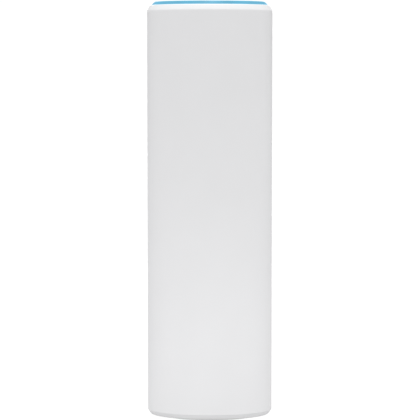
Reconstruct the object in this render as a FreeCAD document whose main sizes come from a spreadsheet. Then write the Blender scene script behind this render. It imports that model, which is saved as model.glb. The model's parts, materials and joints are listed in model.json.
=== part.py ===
import FreeCAD, Part
import math
import os

import Sketcher
from FreeCAD import Placement, Rotation, Vector

# A can-shaped mesh wifi node: a white moulded sleeve with a light ring round its top, a twist-lock base
# with a rubber foot ring, and the boards, antennas and port panel inside.
# Millimetres. The origin is on the floor under the middle of the can. +Z is up, and +Y is the back,
# where the network cable leaves through an arch in the sleeve's lower edge.

# The driving dimensions: (alias, value, meaning). Angles are in degrees; the rest is in millimetres.
# A "level" is a height above the floor.
DIMENSIONS = [
    # sleeve
    ("height", 160.0, "floor to the crest of the light ring"),
    ("rim_radius", 24.2, "sleeve's outer radius under the top bevel"),
    ("foot_radius", 23.95, "sleeve's outer radius above the bottom bevel, smaller by the mould's draft"),
    ("draft_level", 12.0, "the wall is straight up to here and widens by the draft above"),
    ("bore_radius", 22.0, "sleeve's inner radius"),
    ("rim_level", 156.6, "where the wall and the top bevel would meet"),
    ("lip_level", 158.7, "sleeve's top edge"),
    ("lip_land", 0.9, "flat land on the top edge"),
    ("rim_round", 1.3, "rounding where the wall meets the top bevel"),
    ("lip_round", 1.2, "rounding where the top bevel meets the land"),
    ("foot_gap", 0.5, "sleeve's lower edge above the floor"),
    ("foot_bevel_height", 2.1, "both faces of the bottom bevel together, upward"),
    ("foot_bevel_width", 1.15, "bottom bevel's steep face, inward"),
    ("sole_height", 0.35, "bottom bevel's shallow face, upward"),
    ("sole_width", 2.1, "bottom bevel's shallow face, inward"),
    ("foot_round", 0.3, "rounding where the wall meets the bottom bevel"),
    ("sole_round", 1.5, "rounding between the bottom bevel's two faces"),
    ("edge_round", 0.2, "rounding of the sleeve's lowest edge"),
    ("mouth_radius", 19.6, "radius of the hole in the bottom that takes the base"),
    ("mouth_level", 2.5, "upper face of the in-turned bottom lip"),
    ("seat_radius", 20.5, "recess in the lip's underside for the base's rim"),
    ("seat_depth", 0.7, "recess in the lip's underside for the base's rim"),
    ("arch_width", 9.0, "cable arch"),
    ("arch_height", 9.5, "top of the cable arch"),
    ("boss_level", 33.0, "underside of the three screw bosses"),
    ("boss_width", 6.4, "screw boss"),
    ("boss_reach", 15.4, "innermost radius of a screw boss"),
    ("boss_corner", 2.0, "rounding of a boss's inner corners"),
    # bayonet between the sleeve and the base
    ("lug_bearing", 30.0, "bearing of the first lug when locked"),
    ("lug_angle", 22.0, "width of a lug"),
    ("lug_reach", 20.5, "outer radius of a lug"),
    ("lug_level", 2.75, "underside of a lug"),
    ("lug_height", 1.5, "thickness of a lug"),
    ("notch_angle", 26.0, "width of a notch that lets a lug through"),
    ("notch_reach", 20.65, "outer radius of a notch"),
    ("twist_angle", 30.0, "turn between locked and free"),
    ("stop_angle", 3.0, "width of a stop rib"),
    ("stop_play", 0.6, "angle between a lug and its stop rib"),
    ("stop_top", 3.9, "top of a stop rib"),
    ("stop_inset", 0.2, "inner end of a stop rib, behind the lip's edge"),
    # base
    ("base_radius", 19.5, "base plate"),
    ("base_rim_radius", 20.4, "thin rim of the base plate that the sleeve stands on"),
    ("base_rim_height", 0.65, "thin rim of the base plate"),
    ("base_top", 2.5, "upper face of the base plate"),
    ("collar_radius", 19.2, "outside of the collar"),
    ("collar_wall", 1.6, "thickness of the collar"),
    ("collar_top", 6.5, "top of the collar"),
    ("collar_round", 0.3, "rounding of the collar's top edge"),
    ("window_start", 74.0, "bearing where the collar's cable window starts"),
    ("window_end", 136.0, "bearing where the collar's cable window ends"),
    ("wire_hole_radius", 7.5, "hole for a cable that comes out of a wall"),
    ("wall_screw_spacing", 22.4, "distance between the two wall screws"),
    ("wall_screw_radius", 2.1, "clearance hole for a wall screw"),
    ("countersink_radius", 3.5, "mouth of the countersink"),
    ("countersink_depth", 1.2, "depth of the countersink"),
    ("grip_length", 9.0, "finger grip in the underside"),
    ("grip_inner", 9.2, "finger grip, near side"),
    ("grip_outer", 13.4, "finger grip, far side"),
    ("grip_depth", 1.1, "finger grip"),
    ("grip_corner", 1.6, "rounding of a finger grip's corners"),
    ("foot_ring_inner", 14.9, "rubber foot ring"),
    ("foot_ring_outer", 18.1, "rubber foot ring"),
    ("foot_groove_depth", 0.9, "groove that holds the foot ring"),
    ("foot_groove_play", 0.1, "gap on each side of the foot ring"),
    ("foot_ring_round", 0.35, "rounding of the foot ring's lower edges"),
    # port panel
    ("panel_level", 36.0, "underside of the port panel"),
    ("panel_thickness", 3.5, "port panel"),
    ("panel_radius", 21.85, "port panel"),
    ("panel_screw_circle", 18.6, "radius of the three panel screws' circle"),
    ("panel_screw_play", 0.2, "clearance of a panel screw in its boss"),
    ("seal_radius", 0.85, "thickness radius of the rubber seal ring"),
    ("seal_circle", 21.1, "radius of the seal ring's centreline"),
    ("seal_level", 37.75, "height of the seal ring"),
    ("seal_groove_width", 1.9, "seal groove"),
    ("seal_groove_radius", 20.2, "floor of the seal groove"),
    ("label_width", 21.0, "blank rating label"),
    ("label_near", 5.2, "rating label, side nearer the socket"),
    ("label_far", 14.2, "rating label, side nearer the back"),
    ("label_thickness", 0.15, "rating label"),
    ("label_recess", 0.25, "depth of the label's recess"),
    ("label_play", 0.3, "gap round the label"),
    # network socket
    ("socket_width", 16.0, "metal shell of the socket"),
    ("socket_depth", 13.5, "metal shell, out from the board"),
    ("socket_length", 21.3, "metal shell, up from the panel's underside"),
    ("socket_skin", 0.3, "thickness of the metal shell"),
    ("socket_play", 0.2, "gap round the socket in the panel"),
    ("insert_play", 0.05, "gap between the shell and the plastic insert"),
    ("insert_setback", 0.3, "insert behind the shell's mouth"),
    ("plug_width", 11.9, "plug cavity"),
    ("plug_thickness", 6.8, "plug cavity"),
    ("plug_depth", 13.0, "plug cavity"),
    ("plug_inset", 3.1, "plug cavity's wall on the board side"),
    ("latch_width", 6.2, "channel for the plug's latch"),
    ("latch_thickness", 2.2, "channel for the plug's latch"),
    ("latch_depth", 12.0, "channel for the plug's latch"),
    ("contact_pitch", 1.02, "spacing of the eight contact wires"),
    ("contact_radius", 0.22, "contact wire"),
    ("contact_length", 9.85, "contact wire"),
    ("contact_slope", 8.0, "lean of the contact wires"),
    ("contact_setback", 0.23, "contact wires' lower ends, from the cavity's wall"),
    ("contact_rise", 3.2, "contact wires' lower ends, above the insert's mouth"),
    # reset button and its switch
    ("reset_x", 9.0, "reset button, sideways"),
    ("reset_y", 1.0, "reset button, towards the back"),
    ("reset_radius", 1.2, "reset button"),
    ("reset_play", 0.08, "gap round the button in the panel"),
    ("reset_recess_radius", 2.8, "recess round the button"),
    ("reset_recess_depth", 1.0, "recess round the button"),
    ("reset_tip_level", 36.3, "pressing face of the button"),
    ("reset_flange_radius", 2.2, "flange that keeps the button in"),
    ("reset_flange_height", 0.8, "flange that keeps the button in"),
    ("reset_top_level", 43.4, "where the button meets the switch's stem"),
    ("reset_round", 0.3, "rounding of the button's pressing face"),
    ("stem_radius", 0.8, "switch stem"),
    ("stem_length", 2.0, "switch stem"),
    ("switch_width", 5.0, "switch body"),
    ("switch_depth", 3.8, "switch body, out from the board"),
    ("switch_level", 44.6, "underside of the switch body"),
    ("switch_height", 3.6, "switch body"),
    ("switch_bore_depth", 1.7, "stem's hole in the switch body"),
    # main board
    ("board_width", 37.0, "main board"),
    ("board_front", -2.8, "front face of the main board"),
    ("board_thickness", 1.6, "main board"),
    ("board_foot", 41.5, "lower edge of the main board"),
    ("board_head", 123.5, "upper edge of the main board"),
    ("board_hole_play", 0.2, "clearance of a screw in the main board"),
    ("board_screw_x", 16.5, "board screws, sideways"),
    ("board_screw_low", 46.0, "lower board screws"),
    ("board_screw_high", 119.0, "upper board screws"),
    # board frame
    ("rail_inner", 17.0, "inner side of a rail"),
    ("rail_outer", 20.4, "outer side of a rail"),
    ("rail_back", 4.0, "back of a rail"),
    ("rail_boss_inner", 14.0, "inner side of a rail's screw boss"),
    ("rail_boss_height", 6.0, "rail's screw boss"),
    ("frame_top", 126.5, "upper face of the frame's top ring"),
    ("frame_ring_thickness", 2.0, "frame's top ring"),
    ("frame_ring_inner", 16.5, "frame's top ring"),
    ("frame_ring_outer", 21.2, "frame's top ring"),
    ("frame_screw_x", 18.4, "screws that hold the frame to the panel"),
    ("frame_screw_y", 1.4, "screws that hold the frame to the panel"),
    ("carrier_screw_circle", 18.6, "screws that hold the antenna carrier to the frame"),
    # heat sink and the chips under it
    ("chip_height", 1.2, "processor and radio chips"),
    ("thermal_pad", 0.8, "thickness of a thermal pad"),
    ("sink_width", 31.0, "heat sink"),
    ("sink_base", 3.0, "thickness of the heat sink's plate"),
    ("sink_foot", 52.0, "lower end of the heat sink"),
    ("sink_head", 113.0, "upper end of the heat sink"),
    ("sink_reach", 21.0, "radius that the fins reach"),
    ("fin_pitch", 4.4, "spacing of the fins"),
    ("fin_thickness", 1.3, "fin"),
    ("sink_screw_x", 12.6, "heat sink screws, sideways"),
    ("sink_screw_low", 56.0, "lower heat sink screws"),
    ("sink_screw_high", 109.0, "upper heat sink screws"),
    ("sink_boss_radius", 2.4, "standoff of the heat sink"),
    ("processor_size", 14.0, "processor"),
    ("memory_x", 10.4, "middle of a memory chip, sideways"),
    ("memory_width", 5.2, "memory chips"),
    ("memory_length", 12.0, "memory chips"),
    ("memory_height", 1.0, "memory chips"),
    ("processor_middle", 72.5, "height of the processor's middle"),
    ("radio_size", 9.0, "radio chips"),
    ("radio_low", 88.5, "lower radio chip's middle"),
    ("radio_high", 99.5, "upper radio chip's middle"),
    ("fence_width", 29.0, "metal fence round the chips"),
    ("fence_foot", 63.5, "lower end of the fence"),
    ("fence_head", 105.0, "upper end of the fence"),
    ("fence_skin", 0.3, "fence"),
    ("fence_play", 0.1, "gap between the fence and the heat sink"),
    # shield on the front of the board
    ("shield_width", 34.0, "radio shield"),
    ("shield_foot", 90.0, "lower end of the radio shield"),
    ("shield_head", 113.0, "upper end of the radio shield"),
    ("shield_height", 2.8, "fence under the shield's cover"),
    ("shield_skin", 0.25, "sheet metal of the shield"),
    ("shield_play", 0.05, "gap between the fence and the cover"),
    ("shield_skirt", 1.6, "how far the cover's skirt comes down"),
    ("amplifier_size", 3.0, "power amplifiers"),
    ("amplifier_height", 0.9, "power amplifiers"),
    ("amplifier_column", 10.5, "spacing of the power amplifiers, sideways"),
    ("amplifier_row", 9.0, "spacing of the power amplifiers' two rows"),
    ("amplifier_first", 4.5, "lower row's middle, above the shield's lower end"),
    # power parts on the front of the board
    ("magnetics_width", 15.6, "network transformer"),
    ("magnetics_height", 6.0, "network transformer, out from the board"),
    ("magnetics_foot", 58.5, "network transformer"),
    ("magnetics_head", 66.5, "network transformer"),
    ("transformer_middle_x", -10.4, "power transformer"),
    ("transformer_middle_z", 75.0, "power transformer"),
    ("transformer_width", 12.0, "power transformer's core"),
    ("transformer_height", 9.6, "power transformer's core, out from the board"),
    ("transformer_limb", 2.4, "limbs of the power transformer's core"),
    ("transformer_yoke", 1.7, "yokes of the power transformer's core"),
    ("bobbin_flange", 0.8, "flanges of the winding's bobbin"),
    ("bobbin_step", 0.9, "how far the bobbin's flanges stand above the winding"),
    ("bobbin_play", 0.1, "gap between the core and the bobbin"),
    ("capacitor_radius", 4.0, "bulk capacitors"),
    ("capacitor_height", 8.0, "bulk capacitors"),
    ("capacitor_middle_z", 73.5, "bulk capacitors"),
    ("capacitor_near_x", 2.6, "bulk capacitor nearer the middle"),
    ("capacitor_far_x", 12.0, "bulk capacitor nearer the edge"),
    ("inductor_size", 6.6, "power inductors"),
    ("inductor_height", 3.8, "power inductors"),
    ("inductor_middle_z", 83.6, "power inductors"),
    ("flash_middle_x", -13.4, "flash memory chip"),
    ("flash_foot", 84.0, "flash memory chip"),
    ("flash_width", 6.0, "flash memory chip"),
    ("flash_length", 4.5, "flash memory chip"),
    ("flash_height", 0.9, "flash memory chip"),
    # aerial leads and their sockets
    ("lead_level", 117.5, "height of the aerial sockets' middle"),
    ("lead_pitch", 4.0, "spacing of the aerial sockets"),
    ("lead_first_x", 4.4, "aerial socket nearest the middle"),
    ("lead_socket_size", 2.6, "aerial socket"),
    ("lead_socket_height", 1.2, "aerial socket"),
    ("lead_plug_radius", 1.2, "aerial plug"),
    ("lead_plug_height", 1.0, "aerial plug"),
    ("lead_radius", 0.55, "aerial lead"),
    ("lead_rise", 2.2, "straight start of an aerial lead"),
    ("lead_gather", 0.72, "how far the leads draw together under the frame's ring, as a share"),
    ("lead_fan", 0.6, "how far each lead passes in front of the one before it"),
    ("lead_turn_drop", 0.5, "where the leads draw together, below the frame's ring"),
    ("lead_turn_reach", 11.5, "where a lead turns outward, from the axis"),
    ("lead_turn_rise", 4.5, "where a lead turns outward, above the carrier's flange"),
    ("lead_end_gap", 0.45, "end of a lead, inside the antenna's foot"),
    ("lead_lift", 0.05, "gap under the end of a lead"),
    # antenna carrier and antennas
    ("carrier_flange", 1.8, "thickness of the carrier's flange and plate"),
    ("carrier_flange_radius", 20.8, "carrier's lower flange"),
    ("carrier_flange_hole", 14.0, "hole in the lower flange"),
    ("carrier_top", 151.0, "upper face of the carrier"),
    ("carrier_plate_radius", 21.2, "carrier's upper plate"),
    ("carrier_plate_hole", 12.6, "hole in the upper plate"),
    ("rib_inner", 14.6, "ribs between the flange and the plate"),
    ("rib_outer", 20.6, "ribs between the flange and the plate"),
    ("rib_thickness", 1.6, "ribs between the flange and the plate"),
    ("carrier_boss_radius", 2.5, "carrier's screw bosses"),
    ("carrier_boss_height", 7.0, "carrier's screw bosses"),
    ("antenna_skin", 0.4, "sheet metal of the antennas"),
    ("antenna_reach", 18.6, "distance of an antenna from the axis"),
    ("antenna_foot_reach", 15.6, "inner end of an antenna's feet"),
    ("high_band_width", 10.0, "short antenna"),
    ("high_band_head", 142.0, "short antenna's top"),
    ("high_band_gap", 136.0, "top of the short antenna's gap"),
    ("low_band_width", 14.0, "tall antenna"),
    ("low_band_head", 147.0, "tall antenna's top"),
    ("low_band_gap", 139.0, "top of the tall antenna's gap"),
    ("antenna_leg", 1.8, "width of an antenna's legs"),
    ("antenna_slit", 0.9, "slit between an antenna's legs"),
    # light board and the top of the can
    ("led_board_thickness", 1.2, "light board"),
    ("led_board_radius", 21.4, "light board"),
    ("led_board_hole", 8.0, "light board"),
    ("led_circle", 20.3, "circle of the light-emitting diodes"),
    ("led_length", 2.4, "diode, round the ring"),
    ("led_width", 1.6, "diode, across the ring"),
    ("led_height", 0.8, "diode"),
    ("led_screw_circle", 14.4, "light board's screws"),
    ("led_socket_width", 6.0, "light board's cable socket"),
    ("led_socket_depth", 3.0, "light board's cable socket"),
    ("led_socket_height", 2.8, "light board's cable socket"),
    ("led_socket_y", 10.6, "light board's cable socket, middle"),
    ("board_socket_width", 5.2, "main board's socket for the light cable"),
    ("board_socket_depth", 3.2, "main board's socket for the light cable"),
    ("board_socket_height", 3.0, "main board's socket for the light cable"),
    ("wire_radius", 0.45, "wires of the light cable"),
    ("wire_pitch", 1.2, "spacing of the light cable's wires"),
    ("wire_rise", 6.0, "straight start of the light cable"),
    ("wire_bend_rise", 17.0, "middle bend of the light cable, above its start"),
    ("wire_bend_reach", 3.4, "middle bend of the light cable, behind its start"),
    ("wire_head_reach", 4.6, "upper bend of the light cable, behind its start"),
    ("guide_inner", 19.5, "clear light guide"),
    ("guide_outer", 21.5, "clear light guide"),
    ("guide_level", 153.2, "underside of the light guide"),
    ("ring_level", 156.6, "underside of the light ring"),
    ("ring_outer", 21.9, "light ring, where it stands in the sleeve's bore"),
    ("ring_inner", 20.7, "light ring's upright"),
    ("ring_flange_inner", 19.5, "light ring's flange"),
    ("ring_flange_top", 158.0, "light ring's flange"),
    ("brim_radius", 22.25, "light ring's brim, which covers the gap in the sleeve's top edge"),
    ("brim_level", 158.75, "underside of the brim"),
    ("brim_shoulder", 158.95, "where the brim's edge and the slope up to the crest would meet"),
    ("brim_round", 0.4, "rounding between the brim's edge and the slope"),
    ("crest_radius", 21.2, "where the slope and the ring's flat crest would meet"),
    ("crest_round", 0.6, "rounding of the light ring's crest, outside"),
    ("crest_inner_round", 0.15, "rounding of the light ring's crest, inside"),
    ("baffle_inner", 18.4, "dark baffle inside the light guide"),
    ("baffle_outer", 19.2, "dark baffle inside the light guide"),
    ("baffle_top", 156.9, "dark baffle inside the light guide"),
    ("cap_radius", 20.6, "top cap"),
    ("cap_level", 159.75, "rim of the top cap"),
    ("cap_dish", 0.3, "depth of the top cap's dish"),
    ("cap_dish_radius", 19.6, "top cap's dish"),
    ("cap_dish_slope", 1.4, "width of the slope round the dish"),
    ("cap_round", 0.3, "rounding of the top cap's edge"),
    ("skirt_inner", 16.6, "top cap's skirt"),
    ("skirt_outer", 18.2, "top cap's skirt"),
    ("leg_width", 5.0, "top cap's snap legs"),
    ("leg_inner", 16.8, "top cap's snap legs"),
    ("leg_outer", 18.0, "top cap's snap legs"),
    ("leg_foot", 147.9, "lower end of a snap leg"),
    ("hook_reach", 18.8, "outside of a snap leg's hook"),
    ("hook_play", 0.15, "gap between a hook and the plate above it"),
    ("leg_play", 0.3, "gap round a snap leg"),
    # screws
    ("panel_screw_radius", 1.15, "panel screws"),
    ("panel_screw_length", 5.6, "panel screws"),
    ("small_screw_radius", 0.9, "other screws"),
    ("small_screw_length", 5.2, "other screws"),
    ("short_screw_length", 2.6, "light board's screws"),
    ("screw_head_share", 1.9, "screw head's radius over the shank's"),
    ("screw_head_height", 1.3, "screw heads"),
    ("screw_recess_depth", 0.8, "cross recess"),
    ("screw_recess_width", 0.5, "cross recess"),
    ("screw_recess_share", 0.6, "cross recess's reach over the head's radius"),
    ("screw_crown_share", 0.72, "radius of the head's flat top over the head's radius"),
    ("screw_play", 0.1, "gap between a screw and its hole"),
    # shared by several pieces
    ("blind_skin", 0.6, "material left at the blind end of a screw hole"),
    ("slot_play", 0.1, "gap outside a snap leg's hook"),
    ("root", 0.5, "how far a rib, boss or lug is sunk into what it stands on"),
    ("overshoot", 1.0, "how far a cut runs past the face it starts from"),
]


CONTACTS = 8  # contact wires in the network socket
FINS = 7  # fins of the heat sink
DIODES = 8  # light-emitting diodes round the light board


# --- sizes bound to the sheet -------------------------------------------------------------------------


class Size:
    """A number and the sheet expression it comes from, so that sums of sizes stay bound to the sheet."""

    def __init__(self, value, text=None):
        self.value = float(value)
        self.text = text or f"({self.value!r})"

    def __add__(self, other):
        other = as_size(other)
        return Size(self.value + other.value, f"({self.text} + {other.text})")

    def __sub__(self, other):
        other = as_size(other)
        return Size(self.value - other.value, f"({self.text} - {other.text})")

    def __mul__(self, other):
        other = as_size(other)
        return Size(self.value * other.value, f"({self.text} * {other.text})")

    def __truediv__(self, other):
        other = as_size(other)
        return Size(self.value / other.value, f"({self.text} / {other.text})")

    def __neg__(self):
        return Size(-self.value, f"(0 - {self.text})")

    __radd__ = __add__
    __rmul__ = __mul__

    def __rsub__(self, other):
        return as_size(other) - self


def as_size(number):
    return number if isinstance(number, Size) else Size(number)


def cosine(angle):
    return Size(math.cos(math.radians(angle.value)), f"cos({angle.text} * 1 deg)")


def sine(angle):
    return Size(math.sin(math.radians(angle.value)), f"sin({angle.text} * 1 deg)")


class Dimensions:
    """The sheet's cells as attributes: d.height is the size in the cell whose alias is height."""

    def __init__(self, document, rows):
        sheet = document.addObject("Spreadsheet::Sheet", "dims")
        for row, (alias, value, meaning) in enumerate(rows, start=1):
            sheet.set(f"A{row}", meaning)
            sheet.set(f"B{row}", str(value))
            sheet.setAlias(f"B{row}", alias)
            setattr(self, alias, Size(value, f"dims.{alias}"))


doc = FreeCAD.newDocument("mesh_wifi_node")
d = Dimensions(doc, DIMENSIONS)
doc.recompute()
nodes = []


def keep(thing, label):
    """Marks an object as one of the sub-parts: its label names its file."""
    thing.Label = label
    nodes.append(thing)
    return thing


def bind(thing, prop, value):
    thing.setExpression(prop, as_size(value).text)


def place(thing, x=0, y=0, z=0, turn=None):
    """Puts an object at a bound position, turned by a plain rotation."""
    if turn is not None:
        thing.Placement = Placement(Vector(), turn)
    for axis, value in (("x", x), ("y", y), ("z", z)):
        bind(thing, f"Placement.Base.{axis}", value)
    return thing


def about_z(degrees):
    return Rotation(Vector(0, 0, 1), degrees)


# --- sketches and features ----------------------------------------------------------------------------


def new_body(name):
    return doc.addObject("PartDesign::Body", name)


def sketch_on(body, plane="XY_Plane", lift=0):
    """A sketch on one of the body's own origin planes, moved along the plane's normal by lift.
    XY looks up, XZ has x across, y up and faces the front (-Y), and YZ has x to the back and y up."""
    sketch = body.newObject("Sketcher::SketchObject", "sketch")
    origin_plane = next(f for f in body.Origin.OriginFeatures if f.Role == plane)
    sketch.AttachmentSupport = [(origin_plane, "")]
    sketch.MapMode = "FlatFace"
    bind(sketch, "AttachmentOffset.Base.z", lift)
    return sketch


def fix(sketch, kind, value, *where):
    """Adds a driving constraint whose value is bound to the sheet."""
    number = sketch.addConstraint(Sketcher.Constraint(kind, *where, value.value))
    name = f"{kind.lower()}_{number}"
    sketch.renameConstraint(number, name)
    sketch.setExpression(f"Constraints.{name}", value.text)


def fix_point(sketch, geometry, point, x, y):
    fix(sketch, "DistanceX", as_size(x), -1, 1, geometry, point)
    fix(sketch, "DistanceY", as_size(y), -1, 1, geometry, point)


def outline(sketch, corners):
    """A closed polygon through corners, each bound to the sheet."""
    first = sketch.GeometryCount
    at = [Vector(as_size(x).value, as_size(y).value, 0) for x, y in corners]
    count = len(at)
    for i in range(count):
        sketch.addGeometry(Part.LineSegment(at[i], at[(i + 1) % count]), False)
    for i, (x, y) in enumerate(corners):
        following = first + (i + 1) % count
        sketch.addConstraint(Sketcher.Constraint("Coincident", first + i, 2, following, 1))
        fix_point(sketch, first + i, 1, x, y)


def rectangle(sketch, x, y):
    """A rectangle from x = (low, high) and y = (low, high)."""
    outline(sketch, [(x[0], y[0]), (x[1], y[0]), (x[1], y[1]), (x[0], y[1])])


def circle(sketch, radius, x=0, y=0):
    radius, x, y = as_size(radius), as_size(x), as_size(y)
    number = sketch.addGeometry(Part.Circle(Vector(x.value, y.value, 0), Vector(0, 0, 1), radius.value))
    fix_point(sketch, number, 3, x, y)
    fix(sketch, "Radius", radius, number)


def sector(sketch, inner, outer, start, end):
    """A piece of a flat ring round the origin, between two bearings."""
    first = sketch.GeometryCount
    normal = Vector(0, 0, 1)
    turn = [math.radians(start.value), math.radians(end.value)]
    corner = {}
    for radius in (inner, outer):
        whole = Part.Circle(Vector(), normal, radius.value)
        number = sketch.addGeometry(Part.ArcOfCircle(whole, *turn), False)
        sketch.addConstraint(Sketcher.Constraint("Coincident", number, 3, -1, 1))
        fix(sketch, "Radius", radius, number)
        for point, bearing in ((1, start), (2, end)):
            corner[number, point] = (radius * cosine(bearing), radius * sine(bearing))
            x, y = corner[number, point]
            across = abs(y.value) > abs(x.value)
            kind, value = ("DistanceX", x) if across else ("DistanceY", y)
            fix(sketch, kind, value, -1, 1, number, point)
    for point in (1, 2):
        ends = [Vector(*(s.value for s in corner[first + k, point]), 0) for k in (0, 1)]
        number = sketch.addGeometry(Part.LineSegment(*ends), False)
        for end_of_line in (1, 2):
            arc = first + end_of_line - 1
            sketch.addConstraint(Sketcher.Constraint("Coincident", number, end_of_line, arc, point))


def pad(body, sketch, length, name="pad"):
    """Adds material along the sketch's normal."""
    feature = body.newObject("PartDesign::Pad", name)
    feature.Profile = sketch
    bind(feature, "Length", length)
    sketch.Visibility = False
    return feature


def pocket(body, sketch, length, towards_normal=False, name="pocket"):
    """Removes material against the sketch's normal, or along it. Stops if nothing was removed."""
    doc.recompute()
    before = body.Shape.Volume
    feature = body.newObject("PartDesign::Pocket", name)
    feature.Profile = sketch
    feature.Reversed = towards_normal
    bind(feature, "Length", length)
    doc.recompute()
    if body.Shape.Volume > before - 1e-6:
        raise RuntimeError(f"pocket {name} of {body.Name} cuts nothing")
    return feature


def revolve(body, corners, name="revolution"):
    """A solid of revolution about Z from (radius, level) corners."""
    sketch = sketch_on(body, "XZ_Plane")
    outline(sketch, corners)
    feature = body.newObject("PartDesign::Revolution", name)
    feature.Profile = sketch
    feature.ReferenceAxis = (sketch, ["V_Axis"])
    feature.Angle = 360
    return feature


def polar_pattern(body, originals, count, name="pattern"):
    """Repeats features round Z."""
    doc.recompute()
    feature = body.newObject("PartDesign::PolarPattern", name)
    feature.Originals = originals
    axis = next(f for f in body.Origin.OriginFeatures if f.Role == "Z_Axis")
    feature.Axis = (axis, [""])
    feature.Angle = 360
    feature.Occurrences = count
    body.Tip = feature
    doc.recompute()
    return feature


def dress(body, kind, prop, value, chosen):
    """Rounds or bevels the edges of the body's tip that chosen picks."""
    doc.recompute()
    base = body.Tip
    picked = [f"Edge{i}" for i, edge in enumerate(base.Shape.Edges, start=1) if chosen(edge)]
    if not picked:
        raise RuntimeError(f"no edge to {kind.lower()} on {body.Name}")
    feature = body.newObject(f"PartDesign::{kind}", kind.lower())
    feature.Base = (base, picked)
    bind(feature, prop, value)
    doc.recompute()
    return feature


def fillet(body, radius, chosen):
    return dress(body, "Fillet", "Radius", radius, chosen)


def circle_edge(radius, level):
    """Picks the round edge of that radius about Z at that level."""
    radius, level = as_size(radius), as_size(level)

    def chosen(edge):
        curve = edge.Curve
        if not isinstance(curve, Part.Circle):
            return False
        near = abs(curve.Radius - radius.value) < 0.01 and abs(curve.Center.z - level.value) < 0.01
        return near and math.hypot(curve.Center.x, curve.Center.y) < 0.01

    return chosen


def upright_edge(*points):
    """Picks the vertical straight edges over any of the points (x, y)."""
    places = [(as_size(x).value, as_size(y).value) for x, y in points]

    def chosen(edge):
        if not isinstance(edge.Curve, Part.Line) or abs(edge.Curve.Direction.z) < 0.99:
            return False
        at = edge.Vertexes[0].Point
        return any(math.hypot(at.x - x, at.y - y) < 0.01 for x, y in places)

    return chosen


# --- primitives and groups ----------------------------------------------------------------------------


def box(name, x, y, z):
    """A Part box from (low, high) pairs."""
    solid = doc.addObject("Part::Box", name)
    for prop, axis, (low, high) in (("Length", "x", x), ("Width", "y", y), ("Height", "z", z)):
        bind(solid, prop, as_size(high) - low)
        bind(solid, f"Placement.Base.{axis}", low)
    return solid


def cylinder(name, radius, length, x=0, y=0, z=0, turn=None):
    """A Part cylinder along +Z from its foot, or along another way if it is turned."""
    solid = doc.addObject("Part::Cylinder", name)
    bind(solid, "Radius", radius)
    bind(solid, "Height", length)
    return place(solid, x, y, z, turn)


def cut(name, base, tool):
    result = doc.addObject("Part::Cut", name)
    result.Base = base
    result.Tool = tool
    return result


def compound(name, things):
    """A node of several separate solids."""
    group = doc.addObject("Part::Compound", name)
    group.Links = things
    return group


def copies(name, source, places):
    """A node of several links to one source. places holds (x, y, z, rotation)."""
    links = []
    for x, y, z, turn in places:
        link = doc.addObject("App::Link", f"{name}_link")
        link.LinkedObject = source
        link.LinkTransform = True
        links.append(place(link, x, y, z, turn))
    return compound(name, links)


UP = Rotation()
DOWN = Rotation(Vector(1, 0, 0), 180)
TO_FRONT = Rotation(Vector(1, 0, 0), 90)
TO_BACK = Rotation(Vector(1, 0, 0), -90)

board_back = d.board_front + d.board_thickness
panel_top = d.panel_level + d.panel_thickness
plate_underside = d.carrier_top - d.carrier_flange
led_board_top = d.carrier_top + d.led_board_thickness
sink_front = board_back + d.chip_height + d.thermal_pad
sink_back = sink_front + d.sink_base


# --- sleeve, base and foot ----------------------------------------------------------------------------


def lug_start():
    return d.lug_bearing - d.lug_angle / 2


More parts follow.
